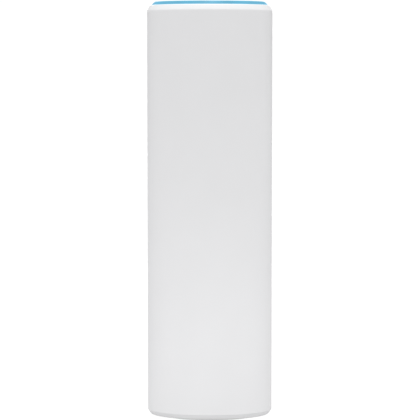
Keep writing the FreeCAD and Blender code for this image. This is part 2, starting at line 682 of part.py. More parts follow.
def make_outer_sleeve():
    """The moulded can: a tube with a bevelled rim and foot, an in-turned bottom lip with bayonet notches and
    stop ribs, a cable arch at the back and three screw bosses for the port panel."""
    body = new_body("outer_sleeve")
    bevel_top = d.foot_gap + d.foot_bevel_height
    sole_outer = d.foot_radius - d.foot_bevel_width
    sole_inner = sole_outer - d.sole_width
    sole_top = d.foot_gap + d.sole_height
    lip_outer = d.bore_radius + d.lip_land
    revolve(
        body,
        [
            (d.mouth_radius, d.foot_gap + d.seat_depth),
            (d.seat_radius, d.foot_gap + d.seat_depth),
            (d.seat_radius, d.foot_gap),
            (sole_inner, d.foot_gap),
            (sole_outer, sole_top),
            (d.foot_radius, bevel_top),
            (d.foot_radius, d.draft_level),
            (d.rim_radius, d.rim_level),
            (lip_outer, d.lip_level),
            (d.bore_radius, d.lip_level),
            (d.bore_radius, d.mouth_level),
            (d.mouth_radius, d.mouth_level),
        ],
    )
    fillet(body, d.rim_round, circle_edge(d.rim_radius, d.rim_level))
    fillet(body, d.lip_round, circle_edge(lip_outer, d.lip_level))
    fillet(body, d.foot_round, circle_edge(d.foot_radius, bevel_top))
    fillet(body, d.sole_round, circle_edge(sole_outer, sole_top))
    fillet(body, d.edge_round, circle_edge(sole_inner, d.foot_gap))

    half = d.arch_width / 2
    spring = d.arch_height - half
    upright = sketch_on(body, "XZ_Plane")
    rectangle(upright, (-half, half), (-d.overshoot, spring))
    pocket(body, upright, d.rim_radius + d.overshoot, name="cable_arch")
    crown = sketch_on(body, "XZ_Plane")
    circle(crown, half, 0, spring)
    pocket(body, crown, d.rim_radius + d.overshoot, name="cable_arch_head")

    notch = sketch_on(body, lift=d.mouth_level)
    notch_middle = d.lug_bearing - d.twist_angle
    half_notch = d.notch_angle / 2
    inner = d.mouth_radius - d.overshoot
    sector(notch, inner, d.notch_reach, notch_middle - half_notch, notch_middle + half_notch)
    notch_cut = pocket(body, notch, d.mouth_level, name="notch")
    polar_pattern(body, [notch_cut], 3, "notches")

    ribs = sketch_on(body, lift=d.mouth_level)
    locked_stop = lug_start() + d.lug_angle + d.stop_play
    free_stop = lug_start() - d.twist_angle - d.stop_play - d.stop_angle
    for start in (locked_stop, free_stop):
        sector(ribs, d.mouth_radius + d.stop_inset, d.bore_radius + d.root, start, start + d.stop_angle)
    rib_pad = pad(body, ribs, d.stop_top - d.mouth_level, "stop_rib")
    polar_pattern(body, [rib_pad], 3, "stop_ribs")

    boss = sketch_on(body, lift=d.boss_level)
    half_boss = d.boss_width / 2
    rectangle(boss, (-half_boss, half_boss), (d.boss_reach, d.bore_radius + d.root))
    boss_pad = pad(body, boss, d.panel_level - d.boss_level, "boss")
    hole = sketch_on(body, lift=d.panel_level)
    circle(hole, d.panel_screw_radius + d.panel_screw_play, 0, d.panel_screw_circle)
    boss_hole = pocket(body, hole, d.panel_level - d.boss_level, name="boss_hole")
    polar_pattern(body, [boss_pad, boss_hole], 3, "bosses")
    corners = []
    for bearing in (90, 210, 330):
        turn = about_z(bearing - 90)
        for side in (-1, 1):
            at = turn.multVec(Vector(side * half_boss.value, d.boss_reach.value, 0))
            corners.append((at.x, at.y))
    fillet(body, d.boss_corner, upright_edge(*corners))
    return keep(body, "outer_sleeve")


def make_twist_base():
    """The base: a plate with a collar whose three lugs lock over the sleeve's lip. It holds the foot ring
    and has two wall-screw holes, a hole for a cable from the wall and a window for the cable arch."""
    body = new_body("twist_base")
    collar_inner = d.collar_radius - d.collar_wall
    groove_top = d.foot_gap + d.foot_groove_depth
    groove_inner = d.foot_ring_inner - d.foot_groove_play
    groove_outer = d.foot_ring_outer + d.foot_groove_play
    revolve(
        body,
        [
            (d.wire_hole_radius, d.foot_gap),
            (groove_inner, d.foot_gap),
            (groove_inner, groove_top),
            (groove_outer, groove_top),
            (groove_outer, d.foot_gap),
            (d.base_rim_radius, d.foot_gap),
            (d.base_rim_radius, d.foot_gap + d.base_rim_height),
            (d.base_radius, d.foot_gap + d.base_rim_height),
            (d.base_radius, d.base_top),
            (d.collar_radius, d.base_top),
            (d.collar_radius, d.collar_top),
            (collar_inner, d.collar_top),
            (collar_inner, d.base_top),
            (d.wire_hole_radius, d.base_top),
        ],
    )
    lug = sketch_on(body, lift=d.lug_level)
    sector(lug, d.collar_radius - d.root, d.lug_reach, lug_start(), lug_start() + d.lug_angle)
    lug_pad = pad(body, lug, d.lug_height, "lug")
    polar_pattern(body, [lug_pad], 3, "lugs")

    window = sketch_on(body, lift=d.collar_top)
    inner, outer = collar_inner - d.overshoot, d.base_radius + d.overshoot
    sector(window, inner, outer, d.window_start, d.window_end)
    pocket(body, window, d.collar_top - d.base_top, name="cable_window")

    screws = sketch_on(body, lift=d.base_top)
    for side in (-1, 1):
        circle(screws, d.wall_screw_radius, d.wall_screw_spacing / 2 * side)
    pocket(body, screws, d.base_top, name="wall_screw_holes")
    for side in (-1, 1):
        countersink(body, d.wall_screw_spacing / 2 * side)

    grips = sketch_on(body, lift=d.foot_gap)
    half = d.grip_length / 2
    for near, far in ((d.grip_inner, d.grip_outer), (-d.grip_outer, -d.grip_inner)):
        rectangle(grips, (-half, half), (near, far))
    pocket(body, grips, d.grip_depth, towards_normal=True, name="finger_grips")
    corners = []
    for reach in (d.grip_inner, d.grip_outer):
        corners += [(half, reach), (-half, reach), (half, -reach), (-half, -reach)]
    fillet(body, d.grip_corner, upright_edge(*corners))
    fillet(body, d.collar_round, circle_edge(d.collar_radius, d.collar_top))
    return keep(body, "twist_base")


def countersink(body, x):
    """A cone cut into the upper face of the base plate round (x, 0)."""
    doc.recompute()
    before = body.Shape.Volume
    cone = body.newObject("PartDesign::SubtractiveCone", "countersink")
    bind(cone, "Radius1", d.wall_screw_radius)
    bind(cone, "Radius2", d.countersink_radius)
    bind(cone, "Height", d.countersink_depth)
    bind(cone, "AttachmentOffset.Base.x", x)
    bind(cone, "AttachmentOffset.Base.z", d.base_top - d.countersink_depth)
    plane = next(f for f in body.Origin.OriginFeatures if f.Role == "XY_Plane")
    cone.AttachmentSupport = [(plane, "")]
    cone.MapMode = "FlatFace"
    doc.recompute()
    if body.Shape.Volume > before - 1e-6:
        raise RuntimeError("the countersink cuts nothing")


def make_foot_ring():
    body = new_body("foot_ring")
    top = d.foot_gap + d.foot_groove_depth
    inner, outer = d.foot_ring_inner, d.foot_ring_outer
    revolve(body, [(inner, 0), (outer, 0), (outer, top), (inner, top)])
    fillet(body, d.foot_ring_round, circle_edge(inner, 0))
    fillet(body, d.foot_ring_round, circle_edge(outer, 0))
    return keep(body, "foot_ring")


# --- port panel, seal, label --------------------------------------------------------------------------


def make_port_panel():
    """The bulkhead over the cable bay: it carries the socket, the reset button and the board frame, and
    has a groove round it for the seal ring."""
    body = new_body("port_panel")
    low = d.seal_level - d.seal_groove_width / 2
    high = d.seal_level + d.seal_groove_width / 2
    revolve(
        body,
        [
            (0, d.panel_level),
            (d.panel_radius, d.panel_level),
            (d.panel_radius, low),
            (d.seal_groove_radius, low),
            (d.seal_groove_radius, high),
            (d.panel_radius, high),
            (d.panel_radius, panel_top),
            (0, panel_top),
        ],
    )
    socket = sketch_on(body, lift=panel_top)
    half = d.socket_width / 2 + d.socket_play
    near, far = d.board_front - d.socket_depth - d.socket_play, d.board_front + d.socket_play
    rectangle(socket, (-half, half), (near, far))
    pocket(body, socket, d.panel_thickness, name="socket_opening")

    through = sketch_on(body, lift=panel_top)
    circle(through, d.reset_radius + d.reset_play, d.reset_x, d.reset_y)
    for side in (-1, 1):
        circle(through, d.small_screw_radius + d.screw_play, d.frame_screw_x * side, d.frame_screw_y)
    pocket(body, through, d.panel_thickness, name="round_holes")

    recess = sketch_on(body, lift=d.panel_level)
    circle(recess, d.reset_recess_radius, d.reset_x, d.reset_y)
    pocket(body, recess, d.reset_recess_depth, towards_normal=True, name="reset_recess")

    pilot = sketch_on(body, lift=d.panel_level)
    circle(pilot, d.panel_screw_radius + d.screw_play, 0, d.panel_screw_circle)
    depth = d.panel_thickness - d.blind_skin
    pilot_cut = pocket(body, pilot, depth, towards_normal=True, name="pilot_hole")
    polar_pattern(body, [pilot_cut], 3, "pilot_holes")

    label = sketch_on(body, lift=d.panel_level)
    half_label = d.label_width / 2 + d.label_play
    rectangle(label, (-half_label, half_label), (d.label_near - d.label_play, d.label_far + d.label_play))
    pocket(body, label, d.label_recess, towards_normal=True, name="label_recess")
    return keep(body, "port_panel")


def make_panel_seal():
    ring = doc.addObject("Part::Torus", "panel_seal")
    bind(ring, "Radius1", d.seal_circle)
    bind(ring, "Radius2", d.seal_radius)
    place(ring, 0, 0, d.seal_level)
    return keep(ring, "panel_seal")


def make_rating_label():
    top = d.panel_level + d.label_recess
    half = d.label_width / 2
    label = box("rating_label", (-half, half), (d.label_near, d.label_far), (top - d.label_thickness, top))
    return keep(label, "rating_label")


# --- network socket -----------------------------------------------------------------------------------


def make_socket():
    """The socket opens downwards: a folded metal shell, a plastic insert with the plug's cavity, and
    eight sloping contact wires."""
    half = d.socket_width / 2
    back, front = d.board_front, d.board_front - d.socket_depth
    top = d.panel_level + d.socket_length
    shell_body = new_body("socket_shell")
    block = sketch_on(shell_body, lift=d.panel_level)
    rectangle(block, (-half, half), (front, back))
    pad(shell_body, block, d.socket_length)
    hollow = sketch_on(shell_body, lift=d.panel_level)
    skin = d.socket_skin
    rectangle(hollow, (skin - half, half - skin), (front + skin, back - skin))
    pocket(shell_body, hollow, d.socket_length - skin, towards_normal=True, name="inside")
    keep(shell_body, "socket_shell")

    insert = new_body("socket_insert")
    inset = skin + d.insert_play
    mouth = d.panel_level + d.insert_setback
    block = sketch_on(insert, lift=mouth)
    rectangle(block, (inset - half, half - inset), (front + inset, back - inset))
    pad(insert, block, top - inset - mouth)
    plug_back = back - d.plug_inset
    plug_front = plug_back - d.plug_thickness
    cavity = sketch_on(insert, lift=mouth)
    rectangle(cavity, (d.plug_width / -2, d.plug_width / 2), (plug_front, plug_back))
    pocket(insert, cavity, d.plug_depth, towards_normal=True, name="plug_cavity")
    channel = sketch_on(insert, lift=mouth)
    half_latch = d.latch_width / 2
    rectangle(channel, (-half_latch, half_latch), (plug_front - d.latch_thickness, plug_front + d.overshoot))
    pocket(insert, channel, d.latch_depth, towards_normal=True, name="latch_channel")
    keep(insert, "socket_insert")

    wires = []
    lean = Rotation(Vector(1, 0, 0), d.contact_slope.value)
    y, z = plug_back - d.contact_setback, mouth + d.contact_rise
    for i in range(CONTACTS):
        x = d.contact_pitch * (i - (CONTACTS - 1) / 2)
        wires.append(cylinder("contact", d.contact_radius, d.contact_length, x, y, z, lean))
    keep(compound("socket_contacts", wires), "socket_contacts")


# --- reset button and switch --------------------------------------------------------------------------


def make_reset():
    """The button hangs by its flange on the panel and pushes the switch's stem up."""
    button = new_body("reset_button")
    revolve(
        button,
        [
            (0, d.reset_tip_level),
            (d.reset_radius, d.reset_tip_level),
            (d.reset_radius, panel_top),
            (d.reset_flange_radius, panel_top),
            (d.reset_flange_radius, panel_top + d.reset_flange_height),
            (d.reset_radius, panel_top + d.reset_flange_height),
            (d.reset_radius, d.reset_top_level),
            (0, d.reset_top_level),
        ],
    )
    fillet(button, d.reset_round, circle_edge(d.reset_radius, d.reset_tip_level))
    place(button, d.reset_x, d.reset_y, 0)
    keep(button, "reset_button")

    foot = (d.reset_x, d.reset_y, d.reset_top_level)
    keep(cylinder("reset_switch_stem", d.stem_radius, d.stem_length, *foot), "reset_switch_stem")

    half = d.switch_width / 2
    block = box(
        "switch_block",
        (d.reset_x - half, d.reset_x + half),
        (board_back, board_back + d.switch_depth),
        (d.switch_level, d.switch_level + d.switch_height),
    )
    bore = cylinder(
        "switch_bore", d.stem_radius + d.reset_play, d.switch_bore_depth, d.reset_x, d.reset_y, d.switch_level
    )
    keep(cut("reset_switch", block, bore), "reset_switch")


# --- main board and frame -----------------------------------------------------------------------------


def make_main_board():
    body = new_body("main_board")
    half = d.board_width / 2
    sketch = sketch_on(body, "XZ_Plane", lift=-board_back)
    rectangle(sketch, (-half, half), (d.board_foot, d.board_head))
    for side in (-1, 1):
        for level in (d.board_screw_low, d.board_screw_high):
            circle(sketch, d.small_screw_radius + d.board_hole_play, d.board_screw_x * side, level)
        for level in (d.sink_screw_low, d.sink_screw_high):
            circle(sketch, d.small_screw_radius + d.board_hole_play, d.sink_screw_x * side, level)
    pad(body, sketch, d.board_thickness)
    return keep(body, "main_board")


def make_board_frame():
    """Two rails behind the board's edges, joined by a ring at the top that carries the antennas."""
    body = new_body("board_frame")
    rails = sketch_on(body, lift=panel_top)
    for near, far in ((d.rail_inner, d.rail_outer), (-d.rail_outer, -d.rail_inner)):
        rectangle(rails, (near, far), (board_back, d.rail_back))
    pad(body, rails, d.frame_top - panel_top, "rails")

    ring = sketch_on(body, lift=d.frame_top - d.frame_ring_thickness)
    circle(ring, d.frame_ring_outer)
    circle(ring, d.frame_ring_inner)
    pad(body, ring, d.frame_ring_thickness, "top_ring")

    bosses = sketch_on(body, "XZ_Plane", lift=-d.rail_back)
    reach = d.rail_boss_height / 2
    for level in (d.board_screw_low, d.board_screw_high):
        for near, far in ((d.rail_boss_inner, d.rail_outer), (-d.rail_outer, -d.rail_boss_inner)):
            rectangle(bosses, (near, far), (level - reach, level + reach))
    pad(body, bosses, d.rail_back - board_back, "screw_bosses")

    front = sketch_on(body, "XZ_Plane", lift=-board_back)
    for side in (-1, 1):
        for level in (d.board_screw_low, d.board_screw_high):
            circle(front, d.small_screw_radius + d.screw_play, d.board_screw_x * side, level)
    pocket(body, front, d.rail_back - board_back - d.blind_skin, name="board_screw_holes")

    foot = sketch_on(body, lift=panel_top)
    for side in (-1, 1):
        circle(foot, d.small_screw_radius + d.screw_play, d.frame_screw_x * side, d.frame_screw_y)
    pocket(body, foot, d.small_screw_length, towards_normal=True, name="foot_screw_holes")

    head = sketch_on(body, lift=d.frame_top)
    for side in (-1, 1):
        circle(head, d.small_screw_radius + d.screw_play, 0, d.carrier_screw_circle * side)
    pocket(body, head, d.frame_ring_thickness, name="carrier_screw_holes")
    return keep(body, "board_frame")


# --- heat sink, chips and shields ---------------------------------------------------------------------


def make_heat_sink():
    """A plate behind the chips with upright fins that follow the round wall."""
    body = new_body("heat_sink")
    comb = sketch_on(body, lift=d.sink_foot)
    half = d.sink_width / 2
    corners = [(-half, sink_back), (-half, sink_front), (half, sink_front), (half, sink_back)]
    for i in range(FINS):
        middle = d.fin_pitch * ((FINS - 1) / 2 - i)
        near, far = middle + d.fin_thickness / 2, middle - d.fin_thickness / 2
        corners += [(near, sink_back), (near, d.sink_reach), (far, d.sink_reach), (far, sink_back)]
    outline(comb, corners)
    pad(body, comb, d.sink_head - d.sink_foot, "comb")
    trim = sketch_on(body, lift=d.sink_head)
    circle(trim, d.sink_reach)
    circle(trim, d.sink_reach + d.sink_width)
    pocket(body, trim, d.sink_head - d.sink_foot, name="round_trim")

    posts = sketch_on(body, "XZ_Plane", lift=-sink_front)
    holes = sketch_on(body, "XZ_Plane", lift=-board_back)
    for side in (-1, 1):
        for level in (d.sink_screw_low, d.sink_screw_high):
            circle(posts, d.sink_boss_radius, d.sink_screw_x * side, level)
            circle(holes, d.small_screw_radius + d.screw_play, d.sink_screw_x * side, level)
    pad(body, posts, sink_front - board_back, "standoffs")
    pocket(body, holes, sink_back - board_back - d.blind_skin, name="pilot_holes")
    return keep(body, "heat_sink")


def chip(name, size, level, front, height, x=0):
    """A flat square part standing on a face of the board. front is its lower y."""
    half = size / 2
    middle = as_size(x)
    return box(name, (middle - half, middle + half), (front, front + height), (level - half, level + half))


def make_rear_chips():
    """Processor, radios and memory on the board's back, with thermal pads up to the heat sink."""
    processor = chip("processor", d.processor_size, d.processor_middle, board_back, d.chip_height)
    keep(processor, "processor")
    levels = (d.radio_low, d.radio_high)
    radios = [chip("radio_chip", d.radio_size, level, board_back, d.chip_height) for level in levels]
    keep(compound("radio_chips", radios), "radio_chips")

    pad_front = board_back + d.chip_height
    pads = [chip("pad", d.processor_size, d.processor_middle, pad_front, d.thermal_pad)]
    pads += [chip("pad", d.radio_size, level, pad_front, d.thermal_pad) for level in levels]
    keep(compound("thermal_pads", pads), "thermal_pads")

    memory = []
    half_width, half_length = d.memory_width / 2, d.memory_length / 2
    for side in (-1, 1):
        middle = d.memory_x * side
        x = (middle - half_width, middle + half_width)
        z = (d.processor_middle - half_length, d.processor_middle + half_length)
        memory.append(box("memory_chip", x, (board_back, board_back + d.memory_height), z))
    keep(compound("memory_chips", memory), "memory_chips")


def make_fence(name, half, skin, low, high, front, depth):
    """A rectangular sheet-metal wall standing on the board."""
    body = new_body(name)
    wall = sketch_on(body, "XZ_Plane", lift=-front - depth)
    rectangle(wall, (-half, half), (low, high))
    rectangle(wall, (skin - half, half - skin), (low + skin, high - skin))
    pad(body, wall, depth)
    return keep(body, name)


def make_shields():
    """The fence round the rear chips, and the fence and snap-on cover on the front of the board."""
    make_fence(
        "chip_fence",
        d.fence_width / 2,
        d.fence_skin,
        d.fence_foot,
        d.fence_head,
        board_back,
        sink_front - board_back - d.fence_play,
    )
    half = d.shield_width / 2
    front = d.board_front - d.shield_height
    make_fence("shield_fence", half, d.shield_skin, d.shield_foot, d.shield_head, front, d.shield_height)

    cover = new_body("shield_cover")
    out = d.shield_skin + d.shield_play
    x = (-(half + out), half + out)
    z = (d.shield_foot - out, d.shield_head + out)
    plate = sketch_on(cover, "XZ_Plane", lift=-front)
    rectangle(plate, x, z)
    pad(cover, plate, d.shield_skin, "lid")
    skirt = sketch_on(cover, "XZ_Plane", lift=-(front + d.shield_skirt))
    skin = d.shield_skin
    rectangle(skirt, x, z)
    rectangle(skirt, (x[0] + skin, x[1] - skin), (z[0] + skin, z[1] - skin))
    pad(cover, skirt, d.shield_skirt, "skirt")
    keep(cover, "shield_cover")

    amplifiers = []
    low = d.board_front - d.amplifier_height
    for row in (0, 1):
        level = d.shield_foot + d.amplifier_first + d.amplifier_row * row
        for column in (-1, 0, 1):
            x = d.amplifier_column * column
            amplifiers.append(chip("amplifier", d.amplifier_size, level, low, d.amplifier_height, x))
    keep(compound("power_amplifiers", amplifiers), "power_amplifiers")


# --- power parts --------------------------------------------------------------------------------------


def make_power_parts():
    """The network transformer, the power transformer, bulk capacitors and inductors."""
    front = d.board_front
    half = d.magnetics_width / 2
    depth, levels = (front - d.magnetics_height, front), (d.magnetics_foot, d.magnetics_head)
    keep(box("network_transformer", (-half, half), depth, levels), "network_transformer")
    make_power_transformer()

    cans = []
    radius, height, level = d.capacitor_radius, d.capacitor_height, d.capacitor_middle_z
    for x in (d.capacitor_near_x, d.capacitor_far_x):
        cans.append(cylinder("capacitor", radius, height, x, front, level, TO_FRONT))
    keep(compound("bulk_capacitors", cans), "bulk_capacitors")

    coils = []
    for x in (d.capacitor_near_x, d.capacitor_far_x):
        low = front - d.inductor_height
        coils.append(chip("inductor", d.inductor_size, d.inductor_middle_z, low, d.inductor_height, x))
    keep(compound("power_inductors", coils), "power_inductors")

    half = d.flash_width / 2
    x = (d.flash_middle_x - half, d.flash_middle_x + half)
    levels = (d.flash_foot, d.flash_foot + d.flash_length)
    keep(box("flash_chip", x, (front - d.flash_height, front), levels), "flash_chip")


def make_power_transformer():
    """A square ferrite core with a round middle limb, and the wound bobbin on that limb."""
    front = d.board_front
    middle_x, middle_z, width = d.transformer_middle_x, d.transformer_middle_z, d.transformer_width
    half, limb = width / 2, d.transformer_limb
    core = new_body("transformer_core")
    frame = sketch_on(core, "XZ_Plane", lift=-front)
    rectangle(frame, (middle_x - half, middle_x + half), (middle_z - half, middle_z + half))
    pad(core, frame, d.transformer_height, "block")
    side = sketch_on(core, "YZ_Plane", lift=middle_x - half)
    low, high = front - d.transformer_height + d.transformer_yoke, front - d.transformer_yoke
    rectangle(side, (low, high), (middle_z - half + limb, middle_z + half - limb))
    pocket(core, side, width, towards_normal=True, name="winding_window")
    centre = sketch_on(core, "XZ_Plane", lift=-high)
    circle(centre, limb, middle_x, middle_z)
    pad(core, centre, high - low, "middle_limb")
    keep(core, "transformer_core")

    bobbin = new_body("transformer_bobbin")
    play, flange = d.bobbin_play, d.bobbin_flange
    reach = half - limb - play
    winding_length = high - low - 2 * play - 2 * flange
    layers = [
        (high - play, flange, reach),
        (high - play - flange, winding_length, reach - d.bobbin_step),
        (low + play + flange, flange, reach),
    ]
    for top, depth, radius in layers:
        layer = sketch_on(bobbin, "XZ_Plane", lift=-top)
        circle(layer, radius, middle_x, middle_z)
        circle(layer, limb + play, middle_x, middle_z)
        pad(bobbin, layer, depth, "winding_layer")
    keep(bobbin, "transformer_bobbin")


# --- antennas, carrier and aerial leads ---------------------------------------------------------------


def make_antenna_carrier():
    """A flange and a plate joined by six ribs: the antennas stand between the ribs."""
    body = new_body("antenna_carrier")
    flange = sketch_on(body, lift=d.frame_top)
    circle(flange, d.carrier_flange_radius)
    circle(flange, d.carrier_flange_hole)
    pad(body, flange, d.carrier_flange, "flange")
    rib = sketch_on(body, lift=d.frame_top)
    half = d.rib_thickness / 2
    rectangle(rib, (-half, half), (d.rib_inner, d.rib_outer))
    rib_pad = pad(body, rib, plate_underside - d.frame_top, "rib")
    polar_pattern(body, [rib_pad], 6, "ribs")
    plate = sketch_on(body, lift=plate_underside)
    circle(plate, d.carrier_plate_radius)
    circle(plate, d.carrier_plate_hole)
    pad(body, plate, d.carrier_flange, "plate")

    bosses = sketch_on(body, lift=d.frame_top)
    for side in (-1, 1):
        circle(bosses, d.carrier_boss_radius, 0, d.carrier_screw_circle * side)
    pad(body, bosses, d.carrier_boss_height, "screw_bosses")
    trim = sketch_on(body, lift=d.frame_top)
    circle(trim, d.carrier_flange_radius)
    circle(trim, d.carrier_screw_circle + d.carrier_boss_radius + d.overshoot)
    pocket(body, trim, d.carrier_boss_height, towards_normal=True, name="boss_trim")
    holes = sketch_on(body, lift=d.frame_top)
    for side in (-1, 1):
        circle(holes, d.small_screw_radius + d.screw_play, 0, d.carrier_screw_circle * side)
    depth = d.carrier_boss_height - d.blind_skin
    pocket(body, holes, depth, towards_normal=True, name="foot_screw_holes")

    slot = sketch_on(body, lift=d.carrier_top)
    half_slot = d.leg_width / 2 + d.leg_play
    rectangle(slot, (d.leg_inner - d.leg_play, d.hook_reach + d.slot_play), (-half_slot, half_slot))
    slot_cut = pocket(body, slot, d.carrier_flange, name="leg_slot")
    hole = sketch_on(body, lift=d.carrier_top)
    circle(hole, d.small_screw_radius + d.screw_play, -d.led_screw_circle)
    hole_cut = pocket(body, hole, d.carrier_flange, name="light_screw_hole")
    polar_pattern(body, [slot_cut, hole_cut], 3, "plate_holes")
    return keep(body, "antenna_carrier")


def make_antenna(label, bearing, width, head, gap):
    """A stamped sheet antenna on two bent feet, standing on the carrier's flange."""
    body = new_body(label)
    foot = d.frame_top + d.carrier_flange
    half, leg = width / 2, d.antenna_leg
    feed = (leg + d.antenna_slit - half, leg * 2 + d.antenna_slit - half)
    face = sketch_on(body, "XZ_Plane", lift=d.antenna_reach - d.antenna_skin)
    outline(
        face,
        [
            (-half, foot),
            (leg - half, foot),
            (leg - half, gap),
            (feed[0], gap),
            (feed[0], foot),
            (feed[1], foot),
            (feed[1], gap),
            (half, gap),
            (half, head),
            (-half, head),
        ],
    )
    pad(body, face, d.antenna_skin, "plate")
    feet = sketch_on(body, lift=foot)
    back, near = -d.antenna_reach, -d.antenna_foot_reach
    rectangle(feet, (-half, leg - half), (back, near))
    rectangle(feet, feed, (back, near))
    pad(body, feet, d.antenna_skin, "feet")
    place(body, 0, 0, 0, about_z(bearing + 90))
    return keep(body, label)


def make_antennas():
    """Four short antennas and two tall ones, in the six gaps between the ribs."""
    for number, bearing in enumerate(SHORT_BEARINGS, start=1):
        label = f"short_antenna_{number}"
        make_antenna(label, bearing, d.high_band_width, d.high_band_head, d.high_band_gap)
    for number, bearing in enumerate(TALL_BEARINGS, start=1):
        label = f"tall_antenna_{number}"
        make_antenna(label, bearing, d.low_band_width, d.low_band_head, d.low_band_gap)


SHORT_BEARINGS = (60, 120, 240, 300)
TALL_BEARINGS = (0, 180)
LEAD_PLACES = [(side, step) for side in (-1, 1) for step in (0, 1, 2)]
LEAD_BEARINGS = (120, 240, 180, 60, 300, 0)


def lead_x(side, step):
    return (d.lead_first_x + d.lead_pitch * step) * side


def make_lead_sockets():
    """Six small coaxial sockets near the board's upper edge, and the plugs on the aerial leads."""
    front = d.board_front
    sockets = []
    plugs = []
    size, height, level = d.lead_socket_size, d.lead_socket_height, d.lead_level
    low = front - height
    for side, step in LEAD_PLACES:
        x = lead_x(side, step)
        sockets.append(chip("lead_socket", size, level, low, height, x))
        plugs.append(cylinder("lead_plug", d.lead_plug_radius, d.lead_plug_height, x, low, level, TO_FRONT))
    keep(compound("lead_sockets", sockets), "lead_sockets")
    keep(compound("lead_plugs", plugs), "lead_plugs")


def rounded_path(points):
    """Straight runs joined by tangent arcs, each as large as its two runs allow."""
    edges = []
    start = points[0]
    for before, corner, after in zip(points, points[1:], points[2:]):
        back, ahead = before - corner, after - corner
        reach = 0.45 * min(back.Length, ahead.Length)
        back.normalize()
        ahead.normalize()
        half_angle = back.getAngle(ahead) / 2
        radius = reach * math.tan(half_angle)
        middle = back + ahead
        middle.normalize()
        centre = corner + middle * (reach / math.cos(half_angle))
        arc_start, arc_end = corner + back * reach, corner + ahead * reach
        edges.append(Part.LineSegment(start, arc_start).toShape())
        edges.append(Part.Arc(arc_start, centre - middle * radius, arc_end).toShape())
        start = arc_end
    edges.append(Part.LineSegment(start, points[-1]).toShape())
    return Part.Wire(edges)


def tube(path, radius):
    """A round solid along a path."""
    start = path.Edges[0]
    way = start.tangentAt(start.FirstParameter)
    ring = Part.Wire([Part.Circle(path.Edges[0].firstVertex().Point, way, radius).toShape()])
    return path.makePipeShell([ring], True, False)


def make_aerial_leads():
    """Each lead runs up from its plug, through the rings' holes and out to an antenna's foot."""
    plug_face = (d.board_front - d.lead_socket_height - d.lead_plug_height / 2).value
    ring_level = (d.frame_top - d.frame_ring_thickness).value
    flange_top = (d.frame_top + d.carrier_flange).value
    end_level = flange_top + (d.lead_radius + d.lead_lift).value
    for number, (side, step) in enumerate(LEAD_PLACES, start=1):
        x = lead_x(side, step).value
        bearing = LEAD_BEARINGS[number - 1]
        way = about_z(bearing).multVec(Vector(1, 0, 0))
        first = Vector(x, plug_face, (d.lead_level + d.lead_plug_radius).value)
        second = first + Vector(0, 0, d.lead_rise.value)
        gathered_y = plug_face - d.lead_fan.value * step
        inward = Vector(x * d.lead_gather.value, gathered_y, ring_level - d.lead_turn_drop.value)
        outward = way * d.lead_turn_reach.value + Vector(0, 0, flange_top + d.lead_turn_rise.value)
        width = d.low_band_width if bearing in TALL_BEARINGS else d.high_band_width
        feed_middle = d.antenna_leg * 1.5 + d.antenna_slit - width / 2
        aside = about_z(90).multVec(way) * feed_middle.value
        feed = way * (d.antenna_foot_reach - d.lead_end_gap).value + aside + Vector(0, 0, end_level)
        points = [first, second, inward, outward, feed]
        lead = doc.addObject("Part::Feature", f"aerial_lead_{number}")
        lead.Shape = tube(rounded_path(points), d.lead_radius.value)
        keep(lead, f"aerial_lead_{number}")


# --- light board and the top --------------------------------------------------------------------------


def make_led_board():
    """A ring-shaped board on the carrier with eight diodes under the light guide."""
    body = new_body("light_board")
    sketch = sketch_on(body, lift=d.carrier_top)
    circle(sketch, d.led_board_radius)
    circle(sketch, d.led_board_hole)
    pad(body, sketch, d.led_board_thickness)
    slot = sketch_on(body, lift=led_board_top)
    half_slot = d.leg_width / 2 + d.leg_play
    rectangle(slot, (d.leg_inner - d.leg_play, d.hook_reach + d.slot_play), (-half_slot, half_slot))
    circle(slot, d.small_screw_radius + d.screw_play, -d.led_screw_circle)
    slot_cut = pocket(body, slot, d.led_board_thickness, name="leg_slot")
    polar_pattern(body, [slot_cut], 3, "holes")
    keep(body, "light_board")

    half_width, half_length = d.led_width / 2, d.led_length / 2
    diode = box("diode", (-half_width, half_width), (-half_length, half_length), (0, d.led_height))
    places = []
    for i in range(DIODES):
        bearing = Size(360 / DIODES * (i + 0.5))
        x, y = d.led_circle * cosine(bearing), d.led_circle * sine(bearing)
        places.append((x, y, led_board_top, about_z(bearing.value)))
    keep(copies("light_diodes", diode, places), "light_diodes")

    half = d.led_socket_width / 2
    depth = d.led_socket_depth / 2
    socket = box(
        "light_socket",
        (-half, half),
        (d.led_socket_y - depth, d.led_socket_y + depth),
        (d.carrier_top - d.led_socket_height, d.carrier_top),
    )
    half = d.board_socket_width / 2
    rise = d.board_socket_height / 2
    board_socket = box(
        "board_socket",
        (-half, half),
        (d.board_front - d.board_socket_depth, d.board_front),
        (d.lead_level - rise, d.lead_level + rise),
    )
    keep(compound("light_cable_sockets", [socket, board_socket]), "light_cable_sockets")


def make_light_cable():
    """Three thin wires side by side, from the main board's upper edge to the light board's socket."""
    wires = []
    low_y = (d.board_front - d.board_socket_depth / 2).value
    low_z = (d.lead_level + d.board_socket_height / 2).value
    high_y = (d.led_socket_y - d.led_socket_depth / 2).value
    high_z = (d.carrier_top - d.led_socket_height / 2).value
    for i in (-1, 0, 1):
        x = d.wire_pitch.value * i
        points = [
            Vector(x, low_y, low_z),
            Vector(x, low_y, low_z + d.wire_rise.value),
            Vector(x, low_y + d.wire_bend_reach.value, low_z + d.wire_bend_rise.value),
            Vector(x, low_y + d.wire_head_reach.value, high_z),
            Vector(x, high_y, high_z),
        ]
        wires.append(tube(rounded_path(points), d.wire_radius.value))
    cable = doc.addObject("Part::Feature", "light_cable")
    cable.Shape = Part.makeCompound(wires)
    keep(cable, "light_cable")


